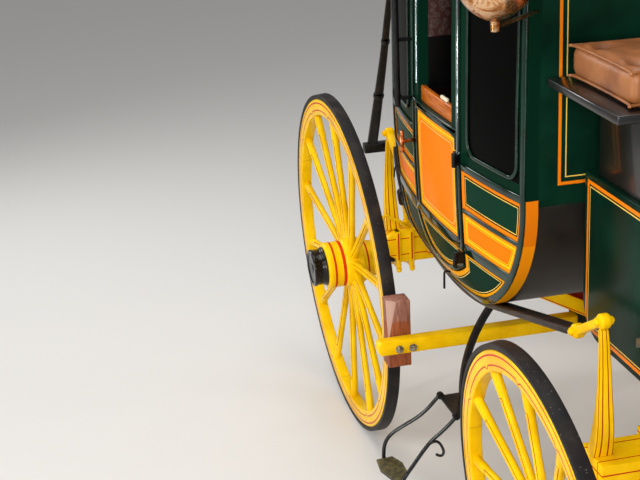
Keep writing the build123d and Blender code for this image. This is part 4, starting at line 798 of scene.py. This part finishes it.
UPPER_BANDS = ((0, "#F08010"), (0.013, "#0A1A10"), (0.018, "#F2C85A"), (0.021, "#0C3222"))
WAIST_BANDS = ((0, "#FF9A10"), (0.009, "#7A2408"), (0.0105, "#FFC414"), (0.020, "#7A2408"),
               (0.0215, "#FFB010"), (0.027, "#B04008"), (0.029, "#FF7C06"))
BELLY_BANDS = ((0, "#F0A010"), (0.010, "#0A1A10"), (0.014, "#F0D070"), (0.0165, "#0A2C1E"))
FIELD_ALONG, FIELD_UP = (0.4725, 0.1675), (1.805, 0.335)  # middle and half size of the black by a window
SHADE_TOP = 1.67  # below this the inside is painted near black, a painted shade; brocade above
panel, place, at = start("varnished coach panel")
side_distances(panel, at)
facing_out = put(panel, "ShaderNodeSeparateXYZ", [put(panel, "ShaderNodeNewGeometry").outputs["Normal"]])
leaves = put(panel, "ShaderNodeTexVoronoi", {"Vector": place, "Scale": 34, "Randomness": 0.55},
             feature="SMOOTH_F1")
weave = put(panel, "ShaderNodeTexNoise", {"Vector": place, "Scale": 60, "Detail": 5, "Distortion": 1.6})
# inside the body, low down, the lining is painted near black: painted shade; brocade is above
for name, operation, *inputs in (
        ("side", "SIGN", "y"), ("lean", "MULTIPLY", "side", facing_out.outputs["Y"]),
        ("inside", "LESS_THAN", "lean", -0.3), ("head", "GREATER_THAN", "z", SIDE_BEADS[0][0]),
        ("waist", "LESS_THAN", "z", SIDE_BEADS[1][0]), ("foot", "LESS_THAN", "z", SIDE_BEADS[2][0]),
        ("in_x", "COMPARE", "s", *FIELD_ALONG), ("in_z", "COMPARE", "z", *FIELD_UP),
        ("field", "MULTIPLY", "in_x", "in_z"), ("low", "LESS_THAN", "z", SHADE_TOP),
        ("painted_shade_lining", "MULTIPLY", "inside", "low"),
        ("curl", "MULTIPLY_ADD", weave.outputs["Fac"], 0.5, leaves.outputs["Distance"])):
    at[name] = put(panel, "ShaderNodeMath", [at.get(v, v) for v in inputs], operation=operation).outputs[0]
brocade = put(panel, "ShaderNodeValToRGB", [at["curl"]],
              ((0.30, "#6E2A28"), (0.42, "#A89088"), (0.50, "#7C3430"), (0.60, "#B8A49A"), (0.70, "#8A4A42")))
rough = put(panel, "ShaderNodeMapRange", {"Value": at["inside"], "To Min": 0.24, "To Max": 0.75})
colour = zoned(
    panel, stepped(panel, at["d"], UPPER_BANDS), (at["waist"], stepped(panel, at["d"], WAIST_BANDS)),
    (at["foot"], stepped(panel, at["d"], BELLY_BANDS)), (at["head"], "#08281B"), (at["field"], "#050605"),
    (at["inside"], brocade.outputs["Color"]), (at["painted_shade_lining"], "#16120E"))
varnished(panel, place, colour, (0.8, 1.12), Roughness=rough.outputs["Result"], Specular_IOR_Level=0.01)
wear(panel, "body_side_right", "body_side_left")

# Body ends and bottom: the same poplar panels, bottle green with an orange stripe and a fine pale
# line inside the beads of the ends, and black tarred boards under the belly.
GREENS = ((0.35, "#072217"), (0.7, "#0C3324"))
END_HALF, END_FOOT, END_HEAD = 0.50, 1.46, 2.15  # of the panel that the stripe and line run round
end_green, place, at = mottled("varnished bottle green", GREENS, (6, 5), Roughness=0.24,
                               Specular_IOR_Level=0.06)
for name, operation, *inputs in (
        ("size", "ABSOLUTE", "y"), ("a", "SUBTRACT", END_HALF, "size"), ("b", "SUBTRACT", "z", END_FOOT),
        ("c", "SUBTRACT", END_HEAD, "z"), ("bc", "MINIMUM", "b", "c"), ("d", "MINIMUM", "a", "bc"),
        ("line", "COMPARE", "d", 0.030, 0.0018), ("band", "COMPARE", "d", 0.010, 0.005),
        ("off", "SUBTRACT", "x", HEART), ("reach", "ABSOLUTE", "off"),
        ("outer", "GREATER_THAN", "reach", 0.672), ("line_shown", "MULTIPLY", "line", "outer"),
        ("band_shown", "MULTIPLY", "band", "outer"), ("lining", "LESS_THAN", "reach", 0.668)):
    at[name] = put(end_green, "ShaderNodeMath", [at.get(v, v) for v in inputs],
                   operation=operation).outputs[0]
give(end_green, Base_Color=zoned(end_green, at["tone"], (at["band_shown"], "#F08010"),
                                 (at["line_shown"], "#F2C85A"), (at["lining"], "#5E2A28")))
wear(end_green, "body_ends")
tar = mottled("tarred board", ((0.35, "#0B0A09"), (0.62, "#1A1714"), (0.75, "#2B241C")), (14, 7),
              (0.4, 0.003), Roughness=0.5)[0]
wear(tar, "body_bottom")

# Beads: half-round ash mouldings planted over the joints of the panels, and the pillars' edges, in
# a green so dark that it reads as black, with long glints from the varnish.
bead = mottled("dark green varnished bead", ((0.36, "#04120D"), (0.68, "#0A2C20")), (9, 4), (0.12, 0.002),
               (40, 2), Roughness=0.08, Specular_IOR_Level=0.3)[0]
softened("mouldings", 0.0045, bead, 3)

# Doors: framed like the sides, with one tall orange panel that runs through the beads of the body,
# a fine line with hollow corners in it, and a green panel below. The frame is dark green.
PANEL_ALONG, PANEL_UP = (-0.135, 0.202), (1.3355, 0.1765)  # middle and half size of the tall panel
FINE_LINE_IN = 0.034
door_paint, place, at = start("varnished coach door")
for name, operation, *inputs in (
        ("fx", "SUBTRACT", "x", PANEL_ALONG[0]), ("ax", "ABSOLUTE", "fx"),
        ("px", "SUBTRACT", "ax", PANEL_ALONG[1]), ("fz", "SUBTRACT", "z", PANEL_UP[0]),
        ("az", "ABSOLUTE", "fz"), ("pz", "SUBTRACT", "az", PANEL_UP[1]),
        ("out", "MAXIMUM", "px", "pz"), ("d", "MULTIPLY", "out", -1.0), ("field", "GREATER_THAN", "d", 0.0),
        # the fine line, hollow at the corners
        ("ix", "ADD", "px", FINE_LINE_IN), ("iz", "ADD", "pz", FINE_LINE_IN), ("i2", "MULTIPLY", "ix", "ix"),
        ("c2", "MULTIPLY_ADD", "iz", "iz", "i2"), ("corner", "SQRT", "c2"),
        ("hollow", "SUBTRACT", "corner", 0.012), ("inset", "SUBTRACT", "d", FINE_LINE_IN),
        ("g", "MINIMUM", "inset", "hollow"), ("line", "COMPARE", "g", 0.0, 0.0012),
        ("line_shown", "MULTIPLY", "line", "field"),
        # the lower panel, round at its foot
        *DOOR_ARC, ("round", "SUBTRACT", DOOR_RADIUS - 0.028, "far"),
        ("west", "ADD", "x", 0.379), ("east", "SUBTRACT", 0.089, "x"), ("we", "MINIMUM", "west", "east"),
        ("top", "SUBTRACT", 1.123, "z"), ("rt", "MINIMUM", "round", "top"), ("dl", "MINIMUM", "rt", "we"),
        ("lower", "GREATER_THAN", "dl", 0.0), ("size", "ABSOLUTE", "y"), ("inner", "LESS_THAN", "size", 0.612),
        ("inner_low", "LESS_THAN", "z", 1.50), ("pad", "MULTIPLY", "inner", "inner_low")):
    at[name] = put(door_paint, "ShaderNodeMath", [at.get(v, v) for v in inputs],
                   operation=operation).outputs[0]
colour = zoned(
    door_paint, linear("#08281B"), (at["lower"], stepped(door_paint, at["dl"], BELLY_BANDS)),
    (at["field"], stepped(door_paint, at["d"], WAIST_BANDS)), (at["line_shown"], "#FFD070"),
    (at["pad"], "#2A1416"))
varnished(door_paint, place, colour, (0.85, 1.1), Roughness=0.24, Specular_IOR_Level=0.025)
for side_name, side in SIDES:
    wear(door_paint, f"door_{side_name}")
    softened(f"door_mouldings_{side_name}", 0.004, bead, 3)

# Glint beads: half-round nickel-silver strips down the front edge of each door and beside its window,
# pinned over the joint. Their pale colour is a painted reflection: it stands for the long glints of a
# window on the dark pillars.
plate = mottled("nickel silver with painted glints", ((0.34, "#7E9094"), (0.55, "#D6E0E2"), (0.72, "#F2F4F2")), (22, 5),
                (0.25, 0.002), (55, 2), Metallic=1.0, Roughness=0.16)[0]
DOOR_SKIN = ((1.44, 0.6504), (1.60, 0.6502), (1.80, 0.6478), (2.00, 0.6433), (2.095, 0.6390))  # z, y
for side_name, side in SIDES:
    strips = []
    for x, half, first in ((0.089, 0.0105, 0), (-0.348, 0.0070, 1)):
        strips.append(lofted("strip", [
            oval((x, side * (y - 0.001), z), (1, 0, 0), (0, 1, 0), half, half * 0.9, 2.2, 16)
            for z, y in DOOR_SKIN[first:]]))
        finish(strips[-1], 0.0, 2, 50)
    keep(joined(strips), f"glint_beads_{side_name}", plate, f"door_{side_name}", "copper")

# Door sash: a mahogany frame, French-polished, that drops into the door on a strap; only its top
# rail shows. A bone pull along its top edge lifts it, and the door handle is cast copper.
mahogany = mottled("polished mahogany", ((0.34, "#9A4A0C"), (0.5, "#B85E10"), (0.68, "#CC741C")),
                   (12, 7, 0.5, 0.4), stretch=(1, 14, 14), Roughness=0.22, Specular_IOR_Level=0.25)[0]
copper = mottled("cast copper", ((0.36, "#6A3C1C"), (0.52, "#C07A48"), (0.66, "#E8B890")), (60, 5),
                 Metallic=1.0, Roughness=0.28)[0]
bone = mottled("turned bone", ((0.38, "#C9B98F"), (0.6, "#EFE6CC")), (300, 3), Roughness=0.3,
               Subsurface_Weight=0.1)[0]
# x and half width of the pull, turned with a bead at each end and at the middle
PULL = ((-0.113, 0.003), (-0.111, 0.0060), (-0.104, 0.0070), (-0.081, 0.0060), (-0.058, 0.0070),
        (-0.051, 0.0060), (-0.049, 0.003))
for side_name, side in SIDES:
    softened(f"door_sash_{side_name}", 0.004, mahogany, 3)
    softened(f"door_handle_{side_name}", 0.0012, copper, 3)
    pull = lofted("pull", [oval((x, side * 0.6385, 1.602), (0, 1, 0), (0, 0, 1), half * 0.9, half, 3.0, 20)
                           for x, half in PULL])
    finish(pull, sharp=50)
    keep(pull, f"sash_pull_{side_name}", bone, f"door_{side_name}", "cream_bone")

# Inside: elm floor and bench boards, and stuffed seats: black buffed hide on the seat cushions, woven
# brocade on the backs, each with a piped edge round a horsehair filling. The foot of the backs and of
# the inside walls is painted near black: painted shade where the inside falls dark.
boards = mottled("scrubbed elm board", ((0.34, "#4A3220"), (0.5, "#7A5838"), (0.68, "#9C7C56")),
                 (8, 7, 0.5, 0.5), (0.3, 0.002), stretch=(12, 1, 12), Roughness=0.6)[0]
wear(boards, "floor", "benches")

hide = mottled("buffed black-green hide", ((0.36, "#0F140F"), (0.6, "#1C231B"), (0.76, "#2E3428")), (9, 5),
               (0.35, 0.0008), (420,), Roughness=0.4)[0]
cloth, place, at = start("woven red brocade")
leaves = put(cloth, "ShaderNodeTexVoronoi", {"Vector": place, "Scale": 44, "Randomness": 0.9},
             feature="SMOOTH_F1")
curls = put(cloth, "ShaderNodeTexNoise", {"Vector": place, "Scale": 42, "Detail": 6, "Distortion": 2.6})
threads = put(cloth, "ShaderNodeTexNoise", {"Vector": place, "Scale": 900, "Detail": 2})
# below 1.676 the backs are painted near black: painted shade
for name, operation, *inputs in (
        ("curl", "MULTIPLY_ADD", curls.outputs["Fac"], 0.5, leaves.outputs["Distance"]),
        ("low", "LESS_THAN", "z", 1.676)):
    at[name] = put(cloth, "ShaderNodeMath", [at.get(v, v) for v in inputs], operation=operation).outputs[0]
tone = put(cloth, "ShaderNodeValToRGB", [at["curl"]],
           ((0.34, "#7A3430"), (0.43, "#B49C92"), (0.50, "#8A4640"), (0.57, "#BCA69A"), (0.66, "#8E5A52")))
bump = put(cloth, "ShaderNodeBump", {"Height": threads.outputs["Fac"], "Strength": 0.5, "Distance": 0.0008})
give(cloth, Base_Color=zoned(cloth, tone.outputs["Color"], (at["low"], "#15120F")), Roughness=0.82,
     Normal=bump.outputs["Normal"], Sheen_Weight=0.25, Sheen_Roughness=0.4)
SWELL = 0.022  # how far a point of a pad may move in the simulation
VOXEL = 0.012
PAD_INSET = 0.010  # room for the swelling, in from the pad's box
TUFT_DEEP, TUFT_REACH = 0.016, 0.034


def stuffed(name, low, high, crowned):
    """Pad between two corners: rounded, remeshed, blown up a little as cloth, and tufted.

    crowned: the axis that its tufted face looks along, and the rows and columns of tufts
    """
    low, high = Vector(low), Vector(high)
    middle, size = (low + high) / 2, high - low
    bpy.ops.object.select_all(action="DESELECT")
    bpy.ops.mesh.primitive_cube_add(size=1, location=middle, scale=[v - 2 * PAD_INSET for v in size])
    pad = bpy.context.object
    bpy.ops.object.transform_apply(location=True, rotation=False, scale=True)
    finish(pad, 0.024, 3)
    pad.data.remesh_voxel_size = VOXEL
    bpy.ops.object.voxel_remesh()
    before = [v.co.copy() for v in pad.data.vertices]
    cloth_run = pad.modifiers.new("stuffing", "CLOTH")
    cloth_run.settings.use_pressure = True
    cloth_run.settings.uniform_pressure_force = 4
    cloth_run.settings.effector_weights.gravity = 0
    for frame_number in range(1, 21):
        bpy.context.scene.frame_set(frame_number)
    bpy.ops.object.modifier_apply(modifier="stuffing")
    bpy.context.scene.frame_set(1)
    for vertex, old in zip(pad.data.vertices, before):
        moved = vertex.co - old
        if moved.length > SWELL:
            vertex.co = old + moved * (SWELL / moved.length)
        vertex.co = [min(max(v, a + 0.0005), b - 0.0005) for v, a, b in zip(vertex.co, low, high)]
    smooth = pad.modifiers.new("smooth", "SUBSURF")
    smooth.levels = smooth.render_levels = 1
    bpy.ops.object.modifier_apply(modifier="smooth")
    bpy.ops.object.shade_smooth()
    # tufts: the cover is drawn down at a grid of buttons on its crowned face
    axis, rows, columns = crowned
    a, b = [i for i in range(3) if i != axis]
    buttons = [(low[a] + size[a] * (row + 0.5) / rows, low[b] + size[b] * (column + 0.5) / columns)
               for row in range(rows) for column in range(columns)]
    for vertex in pad.data.vertices:
        if vertex.co[axis] > middle[axis]:
            near = min(math.hypot(vertex.co[a] - u, vertex.co[b] - v) for u, v in buttons)
            vertex.co[axis] -= TUFT_DEEP * math.exp(-(near / TUFT_REACH) ** 2)
    pad.name = name
    return pad


def piping(low, high, axis, level):
    """Round welt sewn along the edge of a pad's face, which looks along an axis at a level."""
    turn = 0.03  # reach of a rounded corner
    flat = [i for i in range(3) if i != axis]
    points = []
    for a, b in ((0, 0), (0, 1), (1, 1), (1, 0)):
        for shift in ((0, 1), (1, 0)) if a == b else ((1, 0), (0, 1)):
            point = [level] * 3
            for k, (which, pulled) in enumerate(((a, shift[0]), (b, shift[1]))):
                point[flat[k]] = (low, high)[which][flat[k]] + (1 - 2 * which) * (PAD_INSET + turn * pulled)
            points.append(tuple(point))
    return bent_rod("welt", points, 0.0045, closed=True)


SEATS_FACE = (Matrix.Identity(4), Matrix.Translation((2 * HEART, 0, 0)) @ Matrix.Scale(-1, 4, (1, 0, 0)))
SEAT = ((-0.795, -0.549, 1.330), (-0.378, 0.549, 1.438))
BACK = ((-0.795, -0.549, 1.442), (-0.705, 0.549, 1.960))
seat = joined([stuffed("seat", *SEAT, (2, 2, 6)), piping(*SEAT, 2, 1.428), piping(*SEAT, 2, 1.342)])
keep(copies(seat, SEATS_FACE), "seat_cushions", hide, "coach", "black_leather", "cushions")
back = joined([stuffed("back", *BACK, (0, 5, 3)), piping(*BACK, 0, -0.714)])
keep(copies(back, SEATS_FACE), "back_cushions", cloth, "coach", "red_brocade", "cushions")

# Box seat and its cushion: a black painted pine box across the boot, and on it a pad of tan hide,
# piped round the edges and tufted, for the driver and one beside.
black = mottled("black painted pine", ((0.36, "#0A0A0A"), (0.62, "#181614"), (0.78, "#2A231C")), (11, 6),
                (0.15, 0.002), Roughness=0.3, Coat_Weight=0.3)[0]
softened("box_seat", 0.004, black)
softened("footboard", 0.004, black)
tan = mottled("tanned seat hide", ((0.34, "#5A3216"), (0.52, "#8A5228"), (0.72, "#A96C3A")), (7, 6),
              (0.35, 0.0008), (380,), Roughness=0.45)[0]
BOX = ((0.626, -0.538, 1.816), (1.054, 0.538, 1.925))
box_pad = joined([stuffed("box_pad", *BOX, (2, 2, 6)), piping(*BOX, 2, 1.914), piping(*BOX, 2, 1.828)])
keep(box_pad, "driver_cushion", tan, "coach", "tan_leather", "box_cushion")

# Front boot: a panelled locker under the box, bottle green like the body, with the orange stripe
# and pale line set in from the edges of each face.
boot_paint, place, at = mottled("varnished boot panel", GREENS, (6, 5), Roughness=0.24,
                                Specular_IOR_Level=0.06)
boot_low, boot_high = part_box("front_boot")
for name, operation, *inputs in (
        ("size", "ABSOLUTE", "y"), ("ends", "SUBTRACT", boot_high[1], "size"),
        ("low", "SUBTRACT", "z", boot_low[2]), ("high", "SUBTRACT", boot_high[2], "z"),
        ("lh", "MINIMUM", "low", "high"),
        ("rear", "SUBTRACT", "x", boot_low[0]), ("on_side", "LESS_THAN", "ends", 0.006),
        ("not_side", "SUBTRACT", 1.0, "on_side"), ("by_rear", "ADD", "not_side", "rear"),
        ("by_end", "ADD", "on_side", "ends"), ("across", "MINIMUM", "by_rear", "by_end"),
        ("d", "MINIMUM", "across", "lh"), ("band", "COMPARE", "d", 0.026, 0.006),
        ("line", "COMPARE", "d", 0.039, 0.0018)):
    at[name] = put(boot_paint, "ShaderNodeMath", [at.get(v, v) for v in inputs],
                   operation=operation).outputs[0]
give(boot_paint, Base_Color=zoned(boot_paint, at["tone"], (at["band"], "#F08010"), (at["line"], "#F2C85A")))
softened("front_boot", 0.004, boot_paint)

# Roof: canvas bedded in white lead over thin boards and painted black, so that its weave shows
# faintly, with a drip bead round it.
canvas = mottled("painted roof canvas", ((0.36, "#0D0D0D"), (0.6, "#1B1A18"), (0.76, "#2C2A26")), (5, 6),
                 (0.3, 0.001), (420, 2), Roughness=0.55)[0]
softened("roof", 0.005, canvas, 3)

# Coach lamps: brass, soldered from turned and rolled pieces, on an iron arm. Its colour swirls
# between brown and pale, a painted reflection over the brass, and its shine follows the swirls. The
# candle stands behind bevelled dark glass between six bars.
brass, place, at = mottled("lamp brass with painted reflections",
                           ((0.30, "#7A4420"), (0.44, "#C08048"), (0.56, "#E8C098"), (0.70, "#A86838")),
                           (14, 6, 0.5, 2.2))
gloss = put(brass, "ShaderNodeMapRange", {"Value": at["cloud"], "To Min": 0.4, "To Max": 0.14})
LAMP = (0.690, 0.750, 2.101)
GLASS = (0.093, 0.070)  # its middle above the lamp's place, and half its height
for name, operation, *inputs in (
        ("up", "SUBTRACT", "z", LAMP[2]), ("mid", "COMPARE", "up", *GLASS), ("lx", "SUBTRACT", "x", LAMP[0]),
        ("size", "ABSOLUTE", "y"), ("ly", "SUBTRACT", "size", LAMP[1]), ("angle", "ARCTAN2", "ly", "lx"),
        ("turns", "MULTIPLY", "angle", 6 / math.tau), ("share", "FRACT", "turns"),
        ("bar", "COMPARE", "share", 0.5, 0.42), ("pane", "MULTIPLY", "mid", "bar"),
        ("metal", "SUBTRACT", 1.0, "pane")):
    at[name] = put(brass, "ShaderNodeMath", [at.get(v, v) for v in inputs], operation=operation).outputs[0]
sheen = put(brass, "ShaderNodeMix", {0: at["pane"], 2: gloss.outputs["Result"], 3: 0.04})
give(brass, Base_Color=zoned(brass, at["tone"], (at["pane"], "#2A2C28")), Metallic=at["metal"],
     Roughness=sheen.outputs[0])
BOWL_TOP = 2.08
for vertex in softened("lamps", 0.0012, brass).data.vertices:
    if vertex.co.z < BOWL_TOP:
        vertex.co.z = BOWL_TOP - (BOWL_TOP - vertex.co.z) * 0.76  # a shallower bowl under the glass

# Folding steps: slender forged irons that hang from the plate under each door, the front one with
# a curled stop on it, and a seven-sided tread, worn olive brown on top, at their feet.
TREAD_FOOT, TREAD_TOP = 0.257, 0.268
step_iron, place, at = mottled(
    "glossy black step iron", ((0.38, "#08080A"), (0.7, "#191817")), (48, 6), (0.3, 0.002))
worn_tone = put(step_iron, "ShaderNodeValToRGB", [at["cloud"]],
                ((0.36, "#2E2A1C"), (0.55, "#4E4726"), (0.7, "#6A6038")))
at["tread"] = put(step_iron, "ShaderNodeMath", [at["z"], TREAD_TOP - 0.0005, 0.002],
                  operation="COMPARE").outputs[0]
rough = put(step_iron, "ShaderNodeMapRange", {"Value": at["tread"], "To Min": 0.14, "To Max": 0.55})
give(step_iron, Base_Color=zoned(step_iron, at["tone"], (at["tread"], worn_tone.outputs["Color"])),
     Roughness=rough.outputs["Result"])
ARMS = {  # x: points (y, z) from the pivot down to the tread
    -0.134: ((-0.655, 0.485), (-0.668, 0.476), (-0.700, 0.440), (-0.745, 0.408), (-0.800, 0.383),
             (-0.845, 0.360), (-0.868, 0.330), (-0.875, 0.295), (-0.875, 0.262)),
    0.044: ((-0.655, 0.485), (-0.668, 0.470), (-0.705, 0.437), (-0.745, 0.408), (-0.778, 0.372),
            (-0.815, 0.322), (-0.842, 0.287), (-0.858, 0.262))}
TREAD = ((-0.137, -0.842), (-0.080, -0.820), (0.000, -0.822), (0.047, -0.858), (0.030, -0.888),
         (-0.050, -0.912), (-0.130, -0.905))
pieces = [lofted("tread", [[(x, y, z) for x, y in TREAD] for z in (TREAD_FOOT, TREAD_TOP)])]
finish(pieces[0], 0.003, 3)
for x, points in ARMS.items():
    pieces.append(bent_rod("arm", [(x, y, z) for y, z in points], 0.0072))
    for reach, thick in ((0.0135, 0.0045), (0.008, 0.010)):
        boss = turned("boss", ((0.0065, -thick), (reach, -thick), (reach, thick), (0.0065, thick)), 32)
        finish(boss, 0.001, 2)
        boss.data.transform(facing((x, *points[0]), (1, 0, 0)))
        pieces.append(boss)
pieces.append(bent_rod("stop", (
    (0.044, -0.800, 0.345), (0.046, -0.770, 0.385), (0.047, -0.742, 0.404), (0.047, -0.722, 0.398),
    (0.047, -0.708, 0.372), (0.047, -0.703, 0.350), (0.047, -0.716, 0.337), (0.047, -0.732, 0.350)), 0.0052))
step = joined(pieces)
for (side_name, side), where in zip(SIDES, both_sides):
    keep(copies(step, [where], spare=False), f"step_irons_{side_name}", step_iron, f"step_{side_name}",
         "black_iron", f"folding_step_{side_name}")
bpy.data.objects.remove(step)

# Keepers: thin iron wires, bent cold and japanned, that stop each brace and its chafing strap from
# slipping sideways.
KEEPERS = (
    ((-0.830, -0.597, 1.154), (-0.830, -0.560, 1.154), (-0.830, -0.531, 1.142), (-0.830, -0.530, 1.097)),
    ((-0.780, -0.594, 1.051), (-0.780, -0.560, 1.056), (-0.780, -0.534, 1.060), (-0.780, -0.532, 1.030)),
    ((-0.785, -0.6145, 1.120), (-0.780, -0.6145, 1.166), (-0.774, -0.600, 1.168), (-0.772, -0.584, 1.166)),
    ((-0.724, -0.6145, 1.036), (-0.718, -0.6145, 1.082), (-0.706, -0.600, 1.086), (-0.704, -0.584, 1.082)))
keepers = joined([bent_rod("keeper", points, 0.003) for points in KEEPERS])
keep(copies(keepers, both_sides), "brace_keepers", japan, "coach", "black_iron")
